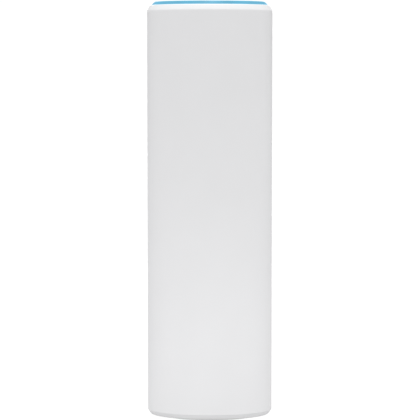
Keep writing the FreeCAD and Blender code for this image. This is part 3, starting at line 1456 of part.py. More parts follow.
def make_light_ring():
    """The milky ring that shows round the top, with a brim over the sleeve's edge, a sloping face up to its
    crest and a flange that the top cap holds down."""
    body = new_body("light_ring")
    revolve(
        body,
        [
            (d.ring_flange_inner, d.ring_level),
            (d.ring_outer, d.ring_level),
            (d.ring_outer, d.brim_level),
            (d.brim_radius, d.brim_level),
            (d.brim_radius, d.brim_shoulder),
            (d.crest_radius, d.height),
            (d.ring_inner, d.height),
            (d.ring_inner, d.ring_flange_top),
            (d.ring_flange_inner, d.ring_flange_top),
        ],
    )
    fillet(body, d.brim_round, circle_edge(d.brim_radius, d.brim_shoulder))
    fillet(body, d.crest_round, circle_edge(d.crest_radius, d.height))
    fillet(body, d.crest_inner_round, circle_edge(d.ring_inner, d.height))
    keep(body, "light_ring")

    guide = new_body("light_guide")
    top, foot = d.ring_level, d.guide_level
    inner, outer = d.guide_inner, d.guide_outer
    revolve(guide, [(inner, foot), (outer, foot), (outer, top), (inner, top)])
    keep(guide, "light_guide")

    baffle = new_body("light_baffle")
    inner, outer = d.baffle_inner, d.baffle_outer
    foot, top = led_board_top, d.baffle_top
    revolve(baffle, [(inner, foot), (outer, foot), (outer, top), (inner, top)])
    keep(baffle, "light_baffle")


def make_top_cap():
    """The white disc inside the light ring: a shallow dish with a skirt and three snap legs below."""
    body = new_body("top_cap")
    underside = d.ring_flange_top
    revolve(
        body,
        [
            (0, underside),
            (d.skirt_inner, underside),
            (d.skirt_inner, led_board_top),
            (d.skirt_outer, led_board_top),
            (d.skirt_outer, underside),
            (d.cap_radius, underside),
            (d.cap_radius, d.cap_level),
            (d.cap_dish_radius, d.cap_level),
            (d.cap_dish_radius - d.cap_dish_slope, d.cap_level - d.cap_dish),
            (0, d.cap_level - d.cap_dish),
        ],
    )
    fillet(body, d.cap_round, circle_edge(d.cap_radius, d.cap_level))
    half = d.leg_width / 2
    leg = sketch_on(body, lift=d.leg_foot)
    rectangle(leg, (d.leg_inner, d.leg_outer), (-half, half))
    leg_pad = pad(body, leg, led_board_top - d.leg_foot + d.root, "leg")
    hook = sketch_on(body, lift=d.leg_foot)
    rectangle(hook, (d.leg_inner, d.hook_reach), (-half, half))
    hook_pad = pad(body, hook, plate_underside - d.hook_play - d.leg_foot, "hook")
    polar_pattern(body, [leg_pad, hook_pad], 3, "snap_legs")
    return keep(body, "top_cap")


# --- screws -------------------------------------------------------------------------------------------


def make_screw(name, radius, length):
    """A cross-head screw: its head's underside is at z = 0, its shank goes up and its head hangs below."""
    body = new_body(name)
    head_radius = radius * d.screw_head_share
    head = d.screw_head_height
    tip = radius / 2
    revolve(
        body,
        [
            (0, -head),
            (head_radius * d.screw_crown_share, -head),
            (head_radius, head / -2),
            (head_radius, 0),
            (radius, 0),
            (radius, length - tip),
            (tip, length),
            (0, length),
        ],
    )
    recess = sketch_on(body, lift=-head)
    arm, half = head_radius * d.screw_recess_share, d.screw_recess_width / 2
    cross = [(-half, -arm), (half, -arm), (half, -half), (arm, -half), (arm, half), (half, half)]
    cross += [(half, arm), (-half, arm), (-half, half), (-arm, half), (-arm, -half), (-half, -half)]
    outline(recess, cross)
    pocket(body, recess, d.screw_recess_depth, towards_normal=True, name="cross_recess")
    return body


def make_screws():
    """All the screws, as one node for each group of identical ones."""
    panel = make_screw("panel_screw", d.panel_screw_radius, d.panel_screw_length)
    small = make_screw("small_screw", d.small_screw_radius, d.small_screw_length)
    short = make_screw("short_screw", d.small_screw_radius, d.short_screw_length)

    places = []
    for bearing in (Size(90), Size(210), Size(330)):
        x, y = d.panel_screw_circle * cosine(bearing), d.panel_screw_circle * sine(bearing)
        places.append((x, y, d.boss_level, UP))
    keep(copies("panel_screws", panel, places), "panel_screws")

    places = [(d.frame_screw_x * side, d.frame_screw_y, d.panel_level, UP) for side in (-1, 1)]
    keep(copies("frame_screws", small, places), "frame_screws")

    ring_underside = d.frame_top - d.frame_ring_thickness
    places = [(0, d.carrier_screw_circle * side, ring_underside, UP) for side in (-1, 1)]
    keep(copies("carrier_screws", small, places), "carrier_screws")

    places = []
    for side in (-1, 1):
        for level in (d.board_screw_low, d.board_screw_high):
            places.append((d.board_screw_x * side, d.board_front, level, TO_BACK))
    keep(copies("board_screws", small, places), "board_screws")

    places = []
    for side in (-1, 1):
        for level in (d.sink_screw_low, d.sink_screw_high):
            places.append((d.sink_screw_x * side, d.board_front, level, TO_BACK))
    keep(copies("heat_sink_screws", small, places), "heat_sink_screws")

    places = []
    for bearing in (Size(180), Size(300), Size(60)):
        x, y = d.led_screw_circle * cosine(bearing), d.led_screw_circle * sine(bearing)
        places.append((x, y, led_board_top, DOWN))
    keep(copies("light_board_screws", short, places), "light_board_screws")


# --- build and write ----------------------------------------------------------------------------------


def check_document():
    doc.recompute()
    for thing in doc.Objects:
        if "Invalid" in thing.State or "Error" in thing.State:
            raise RuntimeError(f"{thing.Name} failed: {thing.State}")
    for node in nodes:
        if node.Shape.isNull() or not node.Shape.isValid() or not node.Shape.Solids:
            raise RuntimeError(f"{node.Label} has no valid solid")


def main():
    make_outer_sleeve()
    make_twist_base()
    make_foot_ring()
    make_port_panel()
    make_panel_seal()
    make_rating_label()
    make_socket()
    make_reset()
    make_main_board()
    make_board_frame()
    make_heat_sink()
    make_rear_chips()
    make_shields()
    make_power_parts()
    make_antenna_carrier()
    make_antennas()
    make_lead_sockets()
    make_aerial_leads()
    make_led_board()
    make_light_cable()
    make_light_ring()
    make_top_cap()
    make_screws()
    check_document()
    os.makedirs("parts", exist_ok=True)
    for node in nodes:
        node.Shape.exportStep(os.path.join("parts", node.Label + ".step"))
        print(node.Label, len(node.Shape.Solids), "solid(s)", round(node.Shape.Volume, 1), "mm3")
    print(len(nodes), "nodes")


main()
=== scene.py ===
import json
import math

import bmesh
import bpy
from mathutils import Matrix, Vector


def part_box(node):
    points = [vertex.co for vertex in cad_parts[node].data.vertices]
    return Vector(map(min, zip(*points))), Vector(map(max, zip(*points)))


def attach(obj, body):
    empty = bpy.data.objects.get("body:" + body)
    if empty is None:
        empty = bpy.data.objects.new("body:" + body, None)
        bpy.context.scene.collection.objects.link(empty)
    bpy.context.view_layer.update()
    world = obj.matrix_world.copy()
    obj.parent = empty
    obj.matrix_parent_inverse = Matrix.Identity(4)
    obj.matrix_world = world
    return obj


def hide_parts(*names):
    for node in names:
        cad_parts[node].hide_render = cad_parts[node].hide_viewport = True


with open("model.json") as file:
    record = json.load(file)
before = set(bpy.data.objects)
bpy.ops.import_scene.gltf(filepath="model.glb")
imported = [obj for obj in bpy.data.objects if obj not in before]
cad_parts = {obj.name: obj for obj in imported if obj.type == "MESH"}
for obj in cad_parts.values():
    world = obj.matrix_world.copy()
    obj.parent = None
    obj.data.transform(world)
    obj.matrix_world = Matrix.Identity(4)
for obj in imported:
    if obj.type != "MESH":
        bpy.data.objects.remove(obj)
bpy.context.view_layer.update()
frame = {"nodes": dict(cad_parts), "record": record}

# A white can-shaped mesh wifi node, with a blue light ring round its top, on a plain white floor.
# Metres, in the CAD model's frame: +Z up, and +Y to the back, where the cable arch is.
# The sleeve, light ring, top disc, base and foot ring are made again here, with softer edges. Everything
# else keeps its CAD mesh and gets its material.
MM = 0.001
RECORD = frame["record"]
SLOT_OF_NODE = {entry["node"]: entry["material_slot"] for entry in RECORD["subparts"]}
SLOT_COLOUR = {entry["slot"]: entry["base_color"][:3] for entry in RECORD["materials"]}

ROUND_SEGMENTS = 256  # facets round the can
HOLE_SEGMENTS = 40  # facets round a screw hole
ON_AXIS = 1e-7  # a turned point with a smaller radius is on the axis
SHARP_ANGLE = math.radians(32)  # edges that turn more than this are shaded sharp
BEVEL_ANGLE = math.radians(40)  # edges that turn more than this are rounded by soften
OVERSHOOT = 1 * MM  # how far a cutter reaches past what it cuts


# --- mesh helpers -------------------------------------------------------------------------------------


def new_object(name, data):
    """An object in the scene that holds the mesh, camera or light data."""
    thing = bpy.data.objects.new(name, data)
    bpy.context.scene.collection.objects.link(thing)
    return thing


def finish_mesh(name, builder):
    """Turns a bmesh into an object that is shaded smooth between sharp corners."""
    bmesh.ops.recalc_face_normals(builder, faces=builder.faces)
    mesh = bpy.data.meshes.new(name)
    builder.to_mesh(mesh)
    builder.free()
    thing = new_object(name, mesh)
    shade(thing)
    return thing


def shade(thing):
    """Smooth faces, and sharp edges at the corners."""
    thing.data.shade_smooth()
    thing.data.set_sharp_from_angle(angle=SHARP_ANGLE)


def rounded(corners, steps=6):
    """A closed outline from (radius, level, rounding) corners, with an arc of that rounding at each."""
    points = []
    count = len(corners)
    for i, (x, z, rounding) in enumerate(corners):
        corner = Vector((x, z))
        if not rounding:
            points.append(corner)
            continue
        before = (Vector(corners[i - 1][:2]) - corner).normalized()
        after = (Vector(corners[(i + 1) % count][:2]) - corner).normalized()
        half = before.angle(after) / 2
        centre = corner + (before + after).normalized() * rounding / math.sin(half)
        start = corner + before * rounding / math.tan(half) - centre
        end = corner + after * rounding / math.tan(half) - centre
        turn = start.angle_signed(end)
        for step in range(steps + 1):
            share = step / steps
            angle = -turn * share
            arm = Vector(
                (
                    start.x * math.cos(angle) - start.y * math.sin(angle),
                    start.x * math.sin(angle) + start.y * math.cos(angle),
                )
            )
            points.append(centre + arm)
    return points


def circle_points(radius, count, x=0):
    """Points (x, y) round a circle about (x, 0), anticlockwise from its +X side."""
    angles = [2 * math.pi * i / count for i in range(count)]
    return [(x + radius * math.cos(angle), radius * math.sin(angle)) for angle in angles]


def lathe(name, outline):
    """Spins a closed outline of (radius, level) points about Z. Points on the axis become one point."""
    builder = bmesh.new()
    rings = []
    for radius, level in outline:
        places = [(0, 0)] if radius < ON_AXIS else circle_points(radius, ROUND_SEGMENTS)
        rings.append([builder.verts.new((x, y, level)) for x, y in places])
    for one, other in zip(rings, rings[1:] + rings[:1]):
        if len(one) == 1 and len(other) == 1:
            continue
        for i in range(ROUND_SEGMENTS):
            j = (i + 1) % ROUND_SEGMENTS
            corners = [one[i % len(one)], one[j % len(one)], other[j % len(other)], other[i % len(other)]]
            builder.faces.new(list(dict.fromkeys(corners)))
    return finish_mesh(name, builder)


def solid_between(name, floor, roof):
    """A solid between two outlines of matching (x, y, z) corners."""
    builder = bmesh.new()
    floor = [builder.verts.new(corner) for corner in floor]
    roof = [builder.verts.new(corner) for corner in roof]
    builder.faces.new(floor[::-1])
    builder.faces.new(roof)
    count = len(floor)
    for i in range(count):
        j = (i + 1) % count
        builder.faces.new([floor[i], floor[j], roof[j], roof[i]])
    return finish_mesh(name, builder)


def prism(name, corners, low, high):
    """An upright prism over a closed outline of (x, y) corners."""
    return solid_between(name, [(x, y, low) for x, y in corners], [(x, y, high) for x, y in corners])


def block(name, x, y, low, high):
    """An upright block over a rectangle from x[0] to x[1] and y[0] to y[1]."""
    return prism(name, [(x[0], y[0]), (x[1], y[0]), (x[1], y[1]), (x[0], y[1])], low, high)


def post(name, radius, x, low, high):
    """An upright cylinder about (x, 0)."""
    return prism(name, circle_points(radius, HOLE_SEGMENTS, x), low, high)


def cone(name, low_radius, high_radius, x, low, high):
    """An upright cone, cut off at both ends, about (x, 0)."""
    floor = [(*place, low) for place in circle_points(low_radius, HOLE_SEGMENTS, x)]
    roof = [(*place, high) for place in circle_points(high_radius, HOLE_SEGMENTS, x)]
    return solid_between(name, floor, roof)


def ring_sector(name, inner, outer, start, end, low, high, steps=12):
    """A piece of a ring between two bearings in degrees."""
    bearings = [math.radians(start + (end - start) * i / steps) for i in range(steps + 1)]
    corners = [(outer * math.cos(a), outer * math.sin(a)) for a in bearings]
    corners += [(inner * math.cos(a), inner * math.sin(a)) for a in reversed(bearings)]
    return prism(name, corners, low, high)


def spun(thing, degrees):
    """Turns an object's mesh about Z."""
    thing.data.transform(Matrix.Rotation(math.radians(degrees), 4, "Z"))
    return thing


def combine(piece, others, operation):
    """Applies booleans of other meshes to a piece, then removes them."""
    for other in others:
        modifier = piece.modifiers.new(other.name, "BOOLEAN")
        modifier.operation = operation
        modifier.solver = "EXACT"
        modifier.object = other
    apply_modifiers(piece)
    for other in others:
        bpy.data.objects.remove(other)


def apply_modifiers(piece):
    """Replaces the piece's mesh by what its modifiers make of it."""
    view = bpy.context.evaluated_depsgraph_get()
    view.update()
    made = bpy.data.meshes.new_from_object(piece.evaluated_get(view))
    old = piece.data
    piece.modifiers.clear()
    piece.data = made
    made.name = old.name
    bpy.data.meshes.remove(old)
    shade(piece)


def soften(piece, width, segments=3):
    """Rounds the piece's sharp edges."""
    modifier = piece.modifiers.new("soften", "BEVEL")
    modifier.width = width
    modifier.segments = segments
    modifier.limit_method = "ANGLE"
    modifier.angle_limit = BEVEL_ANGLE
    apply_modifiers(piece)


def merge(piece, others):
    """Adds other meshes to a piece as they are."""
    builder = bmesh.new()
    builder.from_mesh(piece.data)
    for other in others:
        builder.from_mesh(other.data)
        bpy.data.objects.remove(other)
    builder.to_mesh(piece.data)
    builder.free()
    shade(piece)


def adopt(piece, body, slot, material, *replaced):
    """Gives a new piece its body and its finish, and hides the CAD nodes that it stands for."""
    piece.data.materials.clear()
    piece.data.materials.append(material)
    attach(piece, body)
    if replaced:
        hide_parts(*replaced)
    return piece


# --- materials ----------------------------------------------------------------------------------------


NOISE_ROUGHNESS = 0.55  # how strongly the finer layers of a noise show
MIX_A, MIX_B, MIX_RESULT = 6, 7, 2  # a Mix node's colour sockets, whose names its other sockets share


class Surface:
    """A Principled material under construction, with short ways to add its texture nodes."""

    def __init__(self, name, colour, roughness, metallic=0.0):
        self.material = bpy.data.materials.new(name)
        self.material.use_nodes = True
        self.tree = self.material.node_tree
        self.shader = next(n for n in self.tree.nodes if n.type == "BSDF_PRINCIPLED")
        self.shader.inputs["Base Color"].default_value = (*colour, 1)
        self.shader.inputs["Roughness"].default_value = roughness
        self.shader.inputs["Metallic"].default_value = metallic
        self.colour = tuple(colour)
        self.place = self.add("ShaderNodeTexCoord").outputs["Object"]

    def add(self, kind, **values):
        node = self.tree.nodes.new(kind)
        for key, value in values.items():
            setattr(node, key, value)
        return node

    def join(self, source, target):
        self.tree.links.new(source, target)

    def noise(self, size, detail=3.0, stretch=(1, 1, 1)):
        """Noise whose features are about size metres across. A stretch below 1 draws them out."""
        texture = self.add("ShaderNodeTexNoise")
        texture.inputs["Scale"].default_value = 1 / size
        texture.inputs["Detail"].default_value = detail
        texture.inputs["Roughness"].default_value = NOISE_ROUGHNESS
        source = self.place
        if stretch != (1, 1, 1):
            mapping = self.add("ShaderNodeMapping")
            mapping.inputs["Scale"].default_value = stretch
            self.join(source, mapping.inputs["Vector"])
            source = mapping.outputs["Vector"]
        self.join(source, texture.inputs["Vector"])
        return texture.outputs["Fac"]

    def spread(self, source, low, high, first=0.3, last=0.7):
        """Maps a texture value from the range first to last to the range low to high."""
        node = self.add("ShaderNodeMapRange")
        node.inputs["From Min"].default_value = first
        node.inputs["From Max"].default_value = last
        node.inputs["To Min"].default_value = low
        node.inputs["To Max"].default_value = high
        self.join(source, node.inputs["Value"])
        return node.outputs["Result"]

    def blend(self, share, one, other):
        """Mixes two colours, each a tuple or a socket."""
        node = self.add("ShaderNodeMix", data_type="RGBA")
        self.join(share, node.inputs["Factor"])
        for socket, colour in ((node.inputs[MIX_A], one), (node.inputs[MIX_B], other)):
            if isinstance(colour, tuple):
                socket.default_value = (*colour, 1)
            else:
                self.join(colour, socket)
        return node.outputs[MIX_RESULT]

    def tint(self, share, amount):
        """Varies the colour a little: darker by amount where share is high."""
        darker = tuple(c * (1 - amount) for c in self.colour)
        return self.blend(share, self.colour, darker)

    def set_colour(self, socket):
        self.join(socket, self.shader.inputs["Base Color"])

    def set_roughness(self, socket):
        self.join(socket, self.shader.inputs["Roughness"])

    def bump(self, layers):
        """Chains bumps, each (texture value, height in metres, strength)."""
        previous = None
        for value, height, strength in layers:
            node = self.add("ShaderNodeBump")
            node.inputs["Distance"].default_value = height
            node.inputs["Strength"].default_value = strength
            self.join(value, node.inputs["Height"])
            if previous is not None:
                self.join(previous, node.inputs["Normal"])
            previous = node.outputs["Normal"]
        self.join(previous, self.shader.inputs["Normal"])


def moulded(name, colour):
    """Moulded plastic: a fine spark-eroded grain, slow changes of tone, and faint handling marks."""
    surface = Surface(name, colour, 0.5)
    slow = surface.noise(26 * MM, detail=2)
    surface.set_colour(surface.tint(surface.spread(slow, 0, 1), 0.018))
    marks = surface.noise(5 * MM, detail=5, stretch=(1, 1, 0.35))
    surface.set_roughness(surface.spread(marks, 0.45, 0.56))
    grain = surface.noise(0.16 * MM, detail=2)
    wave = surface.noise(9 * MM, detail=1)
    surface.bump([(wave, 0.02 * MM, 0.25), (grain, 0.008 * MM, 0.6)])
    return surface.material


def rubber(name, colour):
    """Soft rubber: dull, dusty and finely pitted."""
    surface = Surface(name, colour, 0.85)
    dust = surface.noise(3 * MM, detail=6)
    surface.set_colour(surface.blend(surface.spread(dust, 0, 1), surface.colour, lighter(colour, 0.05)))
    surface.set_roughness(surface.spread(dust, 0.78, 0.95))
    surface.bump([(surface.noise(0.25 * MM, detail=4), 0.02 * MM, 0.8)])
    return surface.material


def lighter(colour, amount):
    """The colour, taken part of the way to white."""
    return tuple(c + (1 - c) * amount for c in colour)


def sheet_metal(name, colour, roughness=0.32):
    """Rolled or drawn metal: a fine grain that runs one way, and cloudy roughness."""
    surface = Surface(name, colour, roughness, metallic=1.0)
    lines = surface.noise(0.12 * MM, detail=3, stretch=(1, 1, 0.04))
    clouds = surface.noise(6 * MM, detail=3)
    surface.set_colour(surface.tint(surface.spread(clouds, 0, 1), 0.10))
    surface.set_roughness(surface.spread(clouds, roughness - 0.07, roughness + 0.12))
    surface.bump([(lines, 0.006 * MM, 0.5)])
    return surface.material


def circuit_board(name, colour):
    """Solder mask over copper: lighter tracks and pads show through it."""
    surface = Surface(name, colour, 0.35)
    tracks = surface.add("ShaderNodeTexBrick")
    tracks.inputs["Scale"].default_value = 1 / (5 * MM)
    tracks.inputs["Mortar Size"].default_value = 0.035
    tracks.inputs["Color1"].default_value = (0, 0, 0, 1)
    tracks.inputs["Color2"].default_value = (0, 0, 0, 1)
    tracks.inputs["Mortar"].default_value = (1, 1, 1, 1)
    mapping = surface.add("ShaderNodeMapping")
    mapping.inputs["Rotation"].default_value = (math.pi / 2, 0, 0)
    surface.join(surface.place, mapping.inputs["Vector"])
    surface.join(mapping.outputs["Vector"], tracks.inputs["Vector"])
    pour = surface.spread(surface.noise(7 * MM, detail=1), 0, 1, 0.48, 0.5)
    poured = surface.blend(pour, surface.colour, lighter(colour, 0.05))
    surface.set_colour(surface.blend(tracks.outputs["Color"], poured, lighter(colour, 0.12)))
    surface.set_roughness(surface.spread(surface.noise(4 * MM), 0.28, 0.42))
    surface.bump([(tracks.outputs["Color"], 0.03 * MM, 0.6)])
    return surface.material


def epoxy(name, colour):
    """A chip's moulded epoxy: matt with a sparkle of filler."""
    surface = Surface(name, colour, 0.6)
    speck = surface.noise(0.09 * MM, detail=2)
    share = surface.spread(speck, 0, 1, 0.6, 0.8)
    surface.set_colour(surface.blend(share, surface.colour, lighter(colour, 0.08)))
    surface.set_roughness(surface.spread(surface.noise(2 * MM), 0.52, 0.68))
    surface.bump([(speck, 0.01 * MM, 0.6)])
    return surface.material


def wound_wire(name, colour):
    """Turns of enamelled wire side by side, with painted shade in bands along the turns."""
    surface = Surface(name, colour, 0.28, metallic=0.85)
    wave = surface.add("ShaderNodeTexWave", bands_direction="Y", wave_profile="SIN")
    wave.inputs["Scale"].default_value = 1 / (1.2 * MM)
    wave.inputs["Distortion"].default_value = 0.4
    surface.join(surface.place, wave.inputs["Vector"])
    # painted shade: the colour darkens by up to 45 per cent in bands that follow the turns
    surface.set_colour(surface.tint(wave.outputs["Fac"], 0.45))
    surface.bump([(wave.outputs["Fac"], 0.1 * MM, 0.8)])
    return surface.material


def jacket(name, colour):
    """Extruded cable jacket: smooth, slightly uneven."""
    surface = Surface(name, colour, 0.4)
    surface.set_colour(surface.tint(surface.spread(surface.noise(4 * MM), 0, 1), 0.08))
    surface.set_roughness(surface.spread(surface.noise(1.5 * MM), 0.34, 0.48))
    surface.bump([(surface.noise(0.8 * MM, stretch=(1, 1, 0.2)), 0.02 * MM, 0.4)])
    return surface.material


def clear_plastic(name, colour):
    """Clear acrylic with a faint unevenness."""
    surface = Surface(name, colour, 0.08)
    surface.shader.inputs["Transmission Weight"].default_value = 0.85
    surface.shader.inputs["IOR"].default_value = 1.49
    surface.set_roughness(surface.spread(surface.noise(3 * MM), 0.05, 0.14))
    surface.bump([(surface.noise(2 * MM, detail=1), 0.01 * MM, 0.4)])
    return surface.material


def foam(name, colour):
    """Black foam: open cells, with painted shade that makes them darker in their depths."""
    surface = Surface(name, colour, 0.95)
    cells = surface.add("ShaderNodeTexVoronoi")
    cells.inputs["Scale"].default_value = 1 / (0.35 * MM)
    surface.join(surface.place, cells.inputs["Vector"])
    # painted shade: the colour darkens by up to half where the cell distance is high
    surface.set_colour(surface.tint(cells.outputs["Distance"], 0.5))
    surface.bump([(cells.outputs["Distance"], 0.15 * MM, 0.9)])
    return surface.material


# The light ring's glow up its side, as linear red, green and blue: pale at both edges, where the light
# spills, and a deeper blue between them.
RING_FOOT = (0.22, 0.62, 0.82)
RING_HEART = (0.075, 0.375, 0.575)
RING_CREST = (0.20, 0.57, 0.74)
RING_HEART_BAND = (0.22, 0.72)  # where the deeper blue begins and ends, as shares of the ring's height
RING_UNLIT = (0.03, 0.05, 0.06)


def lit_ring(name, low, high):
    """Milky plastic lit from inside, which shows from level low to level high."""
    surface = Surface(name, RING_UNLIT, 0.42)
    surface.shader.inputs["Specular IOR Level"].default_value = 0.25
    split = surface.add("ShaderNodeSeparateXYZ")
    surface.join(surface.place, split.inputs[0])
    height = surface.spread(split.outputs["Z"], 0, 1, low, high)
    ramp = surface.add("ShaderNodeValToRGB")
    ramp.color_ramp.interpolation = "EASE"
    stops = ramp.color_ramp.elements
    stops[0].position, stops[0].color = 0.0, (*RING_FOOT, 1)
    stops[1].position, stops[1].color = 1.0, (*RING_CREST, 1)
    for position in RING_HEART_BAND:
        stop = stops.new(position)
        stop.color = (*RING_HEART, 1)
    surface.join(height, ramp.inputs["Fac"])
    cloud = surface.spread(surface.noise(7 * MM, detail=1), 0.92, 1.06)
    surface.set_roughness(surface.spread(surface.noise(1 * MM), 0.36, 0.5))
    surface.join(ramp.outputs["Color"], surface.shader.inputs["Emission Color"])
    surface.join(cloud, surface.shader.inputs["Emission Strength"])
    surface.bump([(surface.noise(0.3 * MM), 0.01 * MM, 0.5)])
    return surface.material


def slot_materials():
    """One material for each slot of the record."""
    metals = {"socket_metal", "shield_metal", "screw_steel", "capacitor_can", "sink_aluminium"}
    golds = {"contact_metal", "antenna_metal", "lead_metal"}
    rubbers = {"foot_rubber", "seal_rubber", "pad_silicone"}
    epoxies = {"chip_epoxy", "magnetics_epoxy", "ferrite", "inductor_body"}
    made = {}
    for slot, colour in SLOT_COLOUR.items():
        if slot in metals:
            made[slot] = sheet_metal(slot, colour)
        elif slot in golds:
            made[slot] = sheet_metal(slot, colour, roughness=0.25)
        elif slot in rubbers:
            made[slot] = rubber(slot, colour)
        elif slot in epoxies:
            made[slot] = epoxy(slot, colour)
        elif slot.endswith("board_laminate"):
            made[slot] = circuit_board(slot, colour)
        elif slot.endswith("jacket"):
            made[slot] = jacket(slot, colour)
        elif slot == "winding":
            made[slot] = wound_wire(slot, colour)
        elif slot == "guide_plastic":
            made[slot] = clear_plastic(slot, colour)
        elif slot == "baffle_foam":
            made[slot] = foam(slot, colour)
        elif slot == "ring_plastic":
            made[slot] = lit_ring(slot, RIM_TOP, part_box("light_ring")[1].z)
        else:
            made[slot] = moulded(slot, colour)
    return made


# --- the sleeve ---------------------------------------------------------------------------------------

SLEEVE_LOW, SLEEVE_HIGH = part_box("outer_sleeve")
RIM_RADIUS = SLEEVE_HIGH.x  # outside, where the wall meets the top bevel
RIM_TOP = SLEEVE_HIGH.z
RIM_BEVEL = 2.1 * MM  # height of the top bevel
FOOT_GAP = SLEEVE_LOW.z  # under the sleeve, above the floor
FOOT_RADIUS = RIM_RADIUS - 0.25 * MM  # outside, above the bottom bevel
FOOT_BEVEL = 2.1 * MM  # height of the bottom bevel's two faces together
STEEP_RUN = 1.15 * MM  # how far its steep face runs inward
SOLE = (2.1 * MM, 0.35 * MM)  # its shallow face, inward and up
DRAFT_LEVEL = 12 * MM  # the wall is straight up to here and widens above
BORE = 22.0 * MM  # inside radius
LIP_RADIUS = BORE + 0.9 * MM  # outside of the flat top edge
MOUTH = 19.6 * MM  # radius of the hole that takes the base
LIP_TOP = FOOT_GAP + 2.0 * MM  # upper face of the in-turned lip round the mouth
SEAT = (20.5 * MM, FOOT_GAP + 0.7 * MM)  # recess for the base's rim, radius and level
ARCH_WIDTH = 9 * MM
ARCH_TOP = 9.5 * MM
ARCH_STEPS = 24
ARCH_REACH = (-30 * MM, -10 * MM)  # the arch's cutter, before it is turned to the back
THIRDS = (0, 120, 240)  # bearings of what comes three times round the can, in degrees
NOTCH = (18 * MM, 20.65 * MM)  # bayonet notch, from and to its radius
NOTCH_HALF_ANGLE = 13
NOTCH_TOP = 4 * MM
RIB = (19.8 * MM, 22.3 * MM)  # stop rib on the lip, from and to its radius
RIB_STARTS = (41.6, -14.6)  # bearings of the locked and the free stop
RIB_ANGLE = 3
RIB_ROOT, RIB_TOP = LIP_TOP - 0.3 * MM, 3.9 * MM


def sleeve_outline():
    """The wall's section, as (radius, level, rounding) corners from the mouth outwards and up."""
    return rounded(
        [
            (MOUTH, SEAT[1], 0),
            (*SEAT, 0),
            (SEAT[0], FOOT_GAP, 0.12 * MM),
            (FOOT_RADIUS - STEEP_RUN - SOLE[0], FOOT_GAP, 0.2 * MM),
            (FOOT_RADIUS - STEEP_RUN, FOOT_GAP + SOLE[1], 1.5 * MM),
            (FOOT_RADIUS, FOOT_GAP + FOOT_BEVEL, 0.3 * MM),
            (FOOT_RADIUS, DRAFT_LEVEL, 0),
            (RIM_RADIUS, RIM_TOP - RIM_BEVEL, 1.3 * MM),
            (LIP_RADIUS, RIM_TOP, 1.2 * MM),
            (BORE, RIM_TOP, 0.1 * MM),
            (BORE, LIP_TOP, 0),
            (MOUTH, LIP_TOP, 0.15 * MM),
        ],
        steps=8,
    )


def arch_cutter():
    """An upright opening with a round head, through the wall at the back."""
    half = ARCH_WIDTH / 2
    spring = ARCH_TOP - half
    corners = [(-half, -OVERSHOOT), (half, -OVERSHOOT)]
    for i in range(ARCH_STEPS + 1):
        angle = math.pi * i / ARCH_STEPS
        corners.append((half * math.cos(angle), spring + half * math.sin(angle)))
    cutter = prism("arch", corners, *ARCH_REACH)
    cutter.data.transform(Matrix.Rotation(math.pi / 2, 4, "X"))
    return cutter


def make_sleeve(material):
    """The white can, with its cable arch, bayonet notches, stop ribs and screw bosses."""
    sleeve = lathe("sleeve_shell", sleeve_outline())
    cutters = [arch_cutter()]
    for third in THIRDS:
        start, end = third - NOTCH_HALF_ANGLE, third + NOTCH_HALF_ANGLE
        cutters.append(ring_sector("notch", *NOTCH, start, end, 0, NOTCH_TOP))
    combine(sleeve, cutters, "DIFFERENCE")
    soften(sleeve, 0.18 * MM, segments=2)
    additions = []
    for third in THIRDS:
        for start in RIB_STARTS:
            bearing = start + third
            additions.append(
                ring_sector("rib", *RIB, bearing, bearing + RIB_ANGLE, RIB_ROOT, RIB_TOP, steps=3)
            )
        additions.append(make_boss(90 + third))
    merge(sleeve, additions)
    return adopt(sleeve, "housing", "sleeve_plastic", material, "outer_sleeve")


def make_boss(bearing):
    """A screw boss under the port panel: a block against the wall with a round hole."""
    half_width, reach, root = 3.2 * MM, 15.4 * MM, BORE + 0.4 * MM
    hole_radius, screw_circle = 1.35 * MM, 18.6 * MM
    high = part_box("port_panel")[0].z
    low = high - 3 * MM
    boss = block("boss", (reach, root), (-half_width, half_width), low, high)
    soften(boss, 0.6 * MM)
    hole = post("hole", hole_radius, screw_circle, low - OVERSHOOT, high + OVERSHOOT)
    combine(boss, [hole], "DIFFERENCE")
    return spun(boss, bearing)


# --- the top ------------------------------------------------------------------------------------------


def make_light_ring(material):
    """The glowing ring: a brim over the sleeve's edge, a slope up to a rounded crest, and a flat flange."""
    low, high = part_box("light_ring")
    brim = high.x
    outer, crest = brim - 0.35 * MM, brim - 1.05 * MM
    inner, flange_inner = outer - 1.2 * MM, outer - 2.4 * MM
    brim_level, shoulder = RIM_TOP + 0.05 * MM, RIM_TOP + 0.25 * MM
    flange_top = low.z + 1.4 * MM
    outline = rounded(
        [
            (flange_inner, low.z, 0),
            (outer, low.z, 0.1 * MM),
            (outer, brim_level, 0),
            (brim, brim_level, 0),
            (brim, shoulder, 0.4 * MM),
            (crest, high.z, 0.6 * MM),
            (inner, high.z, 0.15 * MM),
            (inner, flange_top, 0),
            (flange_inner, flange_top, 0),
        ],
        steps=8,
    )
    ring = lathe("light_ring_glow", outline)
    return adopt(ring, "housing", "ring_plastic", material, "light_ring")


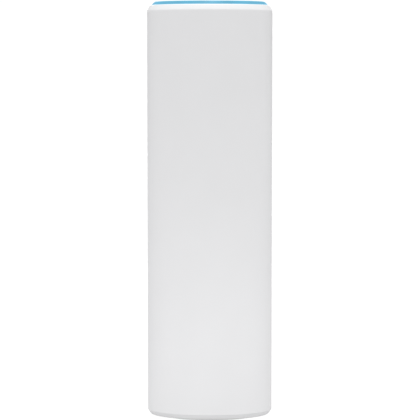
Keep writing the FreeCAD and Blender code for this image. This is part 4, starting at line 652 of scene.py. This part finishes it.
def make_top_cap(material):
    """The white disc, dished a little, with its skirt and snap legs."""
    low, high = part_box("top_cap")
    edge = 20.6 * MM
    underside = high.z - 1.75 * MM
    board_top = underside - 5.8 * MM  # the skirt ends on the light board
    skirt_inner, skirt_outer = 16.6 * MM, 18.2 * MM
    dish_rim, dish_floor, dish_level = edge - 1.0 * MM, edge - 2.4 * MM, high.z - 0.3 * MM
    outline = rounded(
        [
            (0, underside, 0),
            (skirt_inner, underside, 0),
            (skirt_inner, board_top, 0),
            (skirt_outer, board_top, 0),
            (skirt_outer, underside, 0),
            (edge, underside, 0),
            (edge, high.z, 0.3 * MM),
            (dish_rim, high.z, 0.4 * MM),
            (dish_floor, dish_level, 2.0 * MM),
            (0, dish_level, 0),
        ],
        steps=8,
    )
    cap = lathe("top_disc", outline)
    leg_inner, leg_outer, hook_reach = 16.8 * MM, 18 * MM, 18.8 * MM
    across = (-2.5 * MM, 2.5 * MM)
    leg_top, hook_top = board_top + 0.5 * MM, low.z + 1.15 * MM
    legs = []
    for third in THIRDS:
        leg = block("leg", (leg_inner, leg_outer), across, low.z, leg_top)
        hook = block("hook", (leg_inner, hook_reach), across, low.z, hook_top)
        for part in (leg, hook):
            soften(part, 0.15 * MM, segments=2)
            legs.append(spun(part, third))
    merge(cap, legs)
    return adopt(cap, "housing", "cap_plastic", material, "top_cap")


# --- the base -----------------------------------------------------------------------------------------


def make_base(material):
    """The twist-lock base: plate, collar, lugs, wall-screw holes, cable hole and finger grips."""
    low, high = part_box("twist_base")
    gap, top, collar_top = low.z, low.z + 2 * MM, high.z
    cable_hole = 7.5 * MM
    groove_inner, groove_outer, groove_top = 14.8 * MM, 18.2 * MM, gap + 0.9 * MM
    rim, rim_top, plate = 20.4 * MM, gap + 0.65 * MM, 19.5 * MM
    collar_inner, collar_outer = 17.6 * MM, 19.2 * MM
    outline = rounded(
        [
            (cable_hole, gap, 0.3 * MM),
            (groove_inner, gap, 0),
            (groove_inner, groove_top, 0),
            (groove_outer, groove_top, 0),
            (groove_outer, gap, 0),
            (rim, gap, 0.2 * MM),
            (rim, rim_top, 0),
            (plate, rim_top, 0),
            (plate, top, 0.1 * MM),
            (collar_outer, top, 0),
            (collar_outer, collar_top, 0.3 * MM),
            (collar_inner, collar_top, 0.3 * MM),
            (collar_inner, top, 0),
            (cable_hole, top, 0.3 * MM),
        ],
        steps=5,
    )
    base = lathe("base_plate", outline)
    combine(base, base_cutters(gap, top, collar_top), "DIFFERENCE")
    soften(base, 0.15 * MM, segments=2)
    lug_radii, lug_levels = (18 * MM, 20.5 * MM), (2.75 * MM, 4.25 * MM)
    lug_start, lug_end = 19, 41  # bearings in degrees
    lugs = []
    for third in THIRDS:
        lug = ring_sector("lug", *lug_radii, lug_start + third, lug_end + third, *lug_levels)
        soften(lug, 0.2 * MM, segments=2)
        lugs.append(lug)
    merge(base, lugs)
    return adopt(base, "base", "base_plastic", material, "twist_base")


def base_cutters(gap, top, collar_top):
    """The base's openings: the cable window in the collar, two countersunk holes and two finger grips."""
    window = (16.6 * MM, 20.5 * MM, 74, 136)  # from and to its radius, and its bearings in degrees
    screw_reach, screw_radius = 11.2 * MM, 2.1 * MM
    sink_radius, sink_depth = 3.5 * MM, 1.2 * MM
    clear = 0.001 * MM  # keeps the countersink's face off the plate's
    grip_x, grip_y, grip_top = (-4.5 * MM, 4.5 * MM), (9.2 * MM, 13.4 * MM), gap + 1.1 * MM
    cutters = [ring_sector("window", *window, top, collar_top + OVERSHOOT, steps=20)]
    for side, turn in ((-1, 180), (1, 0)):
        x = side * screw_reach
        cutters.append(post("screw_hole", screw_radius, x, gap - OVERSHOOT, top + OVERSHOOT))
        cutters.append(cone("countersink", screw_radius, sink_radius, x, top - sink_depth, top + clear))
        grip = block("grip", grip_x, grip_y, gap - OVERSHOOT, grip_top)
        soften(grip, 0.6 * MM)
        cutters.append(spun(grip, turn))
    return cutters


def make_foot_ring(material):
    """The rubber ring, with two fine grooves in the face that it stands on."""
    low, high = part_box("foot_ring")
    outer = high.x
    inner = outer - 3.2 * MM
    edge_round = 0.35 * MM
    groove = 0.25 * MM  # depth, and half its width
    groove_shares = (0.36, 0.64)  # of the way across the ring
    corners = [(inner, low.z, edge_round)]
    for share in groove_shares:
        middle = inner + (outer - inner) * share
        corners += [(middle - groove, low.z, 0), (middle, low.z + groove, 0), (middle + groove, low.z, 0)]
    corners += [(outer, low.z, edge_round), (outer, high.z, 0), (inner, high.z, 0)]
    ring = lathe("foot_pad", rounded(corners))
    return adopt(ring, "base", "foot_rubber", material, "foot_ring")


# --- stage --------------------------------------------------------------------------------------------

CAMERA_DISTANCE = 1.146  # metres, like the heights and the side shift
CAMERA_HEIGHT = 0.13112
AIM_HEIGHT = 0.07961
AIM_SIDE = 0.0001
LENS = 254.15  # millimetres
SENSOR = 36  # millimetres
CLIP = (0.05, 50)  # metres, the nearest and the farthest that the camera sees


def make_camera():
    """The camera in front, a little above the can's middle."""
    data = bpy.data.cameras.new("camera")
    data.lens = LENS
    data.sensor_width = SENSOR
    data.clip_start, data.clip_end = CLIP
    camera = new_object("camera", data)
    camera.location = (AIM_SIDE, -CAMERA_DISTANCE, CAMERA_HEIGHT)
    aim = Vector((AIM_SIDE, 0, AIM_HEIGHT)) - camera.location
    camera.rotation_euler = aim.to_track_quat("-Z", "Y").to_euler()
    bpy.context.scene.camera = camera


FLOOR_RADIUS = 5  # metres
FLOOR_SEGMENTS = 96
FLOOR_COLOUR = (0.15, 0.15, 0.15)
FLOOR_GLOW = 0.54  # strength of the table's glow as a light
FLOOR_SEEN = 0.95  # the same as the camera sees it, so that the table stays plain white


def make_floor():
    """A wide round table top that gives out a soft white light and looks plain white."""
    builder = bmesh.new()
    bmesh.ops.create_circle(builder, cap_ends=True, segments=FLOOR_SEGMENTS, radius=FLOOR_RADIUS)
    floor = finish_mesh("floor", builder)
    surface = Surface("floor_acrylic", FLOOR_COLOUR, 0.9)
    surface.shader.inputs["Specular IOR Level"].default_value = 0
    surface.shader.inputs["Emission Color"].default_value = (1, 1, 1, 1)
    seen = surface.add("ShaderNodeMix")
    seen.inputs["A"].default_value = FLOOR_GLOW
    seen.inputs["B"].default_value = FLOOR_SEEN
    surface.join(surface.add("ShaderNodeLightPath").outputs["Is Camera Ray"], seen.inputs["Factor"])
    surface.join(seen.outputs["Result"], surface.shader.inputs["Emission Strength"])
    surface.set_colour(surface.tint(surface.spread(surface.noise(0.4), 0, 1), 0.01))
    floor.data.materials.append(surface.material)


WORLD_LIGHT = 1.09  # strength of the surround as a light
WORLD_SHADE = 0.1  # the same behind the object, where a grey flag darkens the can's two edges
WORLD_SEEN = 1.05  # the surround as the camera sees it
WORLD_FLAG = 0.4  # where the grey flag begins, as the share of a direction that points to the back


def make_world():
    """A white surround, greyer behind the object. The camera itself sees it plain white."""
    world = bpy.data.worlds.new("studio")
    world.use_nodes = True
    nodes, links = world.node_tree.nodes, world.node_tree.links
    background = next(n for n in nodes if n.type == "BACKGROUND")
    background.inputs["Color"].default_value = (1, 1, 1, 1)
    split = nodes.new("ShaderNodeSeparateXYZ")
    links.new(nodes.new("ShaderNodeTexCoord").outputs["Generated"], split.inputs[0])
    flag = nodes.new("ShaderNodeMapRange")
    flag.interpolation_type = "SMOOTHSTEP"
    flag.inputs["From Min"].default_value = WORLD_FLAG
    flag.inputs["From Max"].default_value = 1
    flag.inputs["To Min"].default_value = WORLD_LIGHT
    flag.inputs["To Max"].default_value = WORLD_SHADE
    links.new(split.outputs["Y"], flag.inputs["Value"])
    seen = nodes.new("ShaderNodeMix")
    links.new(nodes.new("ShaderNodeLightPath").outputs["Is Camera Ray"], seen.inputs["Factor"])
    links.new(flag.outputs["Result"], seen.inputs["A"])
    seen.inputs["B"].default_value = WORLD_SEEN
    links.new(seen.outputs["Result"], background.inputs["Strength"])
    bpy.context.scene.world = world


def softbox(name, size, place, aim, power):
    """A rectangular area light, not seen by the camera itself."""
    data = bpy.data.lights.new(name, "AREA")
    data.shape = "RECTANGLE"
    data.size, data.size_y = size
    data.energy = power
    light = new_object(name, data)
    light.location = place
    way = Vector(aim) - Vector(place)
    light.rotation_euler = way.to_track_quat("-Z", "Y").to_euler()
    light.visible_camera = False


# Each light's name, width and height, place and aim in metres, and power in watts.
LIGHTS = (
    ("overhead", (0.25, 0.25), (0, 0, 1.3), (0, 0, 0), 4.2),
    ("behind", (0.5, 0.5), (0, 0.9, 0.2), (0, 0, 0.08), 1.8),
    ("front_low", (0.08, 0.04), (0, -0.11, 0.022), (0, 0, 0.022), 0.0095),
    ("side_low", (0.06, 0.04), (-0.105, -0.04, 0.022), (0, 0, 0.022), 0.006),
    ("side_low", (0.06, 0.04), (0.105, -0.04, 0.022), (0, 0, 0.022), 0.006),
)


def main():
    """Gives the CAD nodes their materials, then builds the outer pieces and the stage."""
    bpy.context.scene.view_settings.view_transform = "Standard"
    materials = slot_materials()
    for name, node in frame["nodes"].items():
        node.data.materials.clear()
        node.data.materials.append(materials[SLOT_OF_NODE[name]])
    make_sleeve(materials["sleeve_plastic"])
    make_light_ring(materials["ring_plastic"])
    make_top_cap(materials["cap_plastic"])
    make_base(materials["base_plastic"])
    make_foot_ring(materials["foot_rubber"])
    make_floor()
    make_world()
    for light in LIGHTS:
        softbox(*light)
    make_camera()


main()
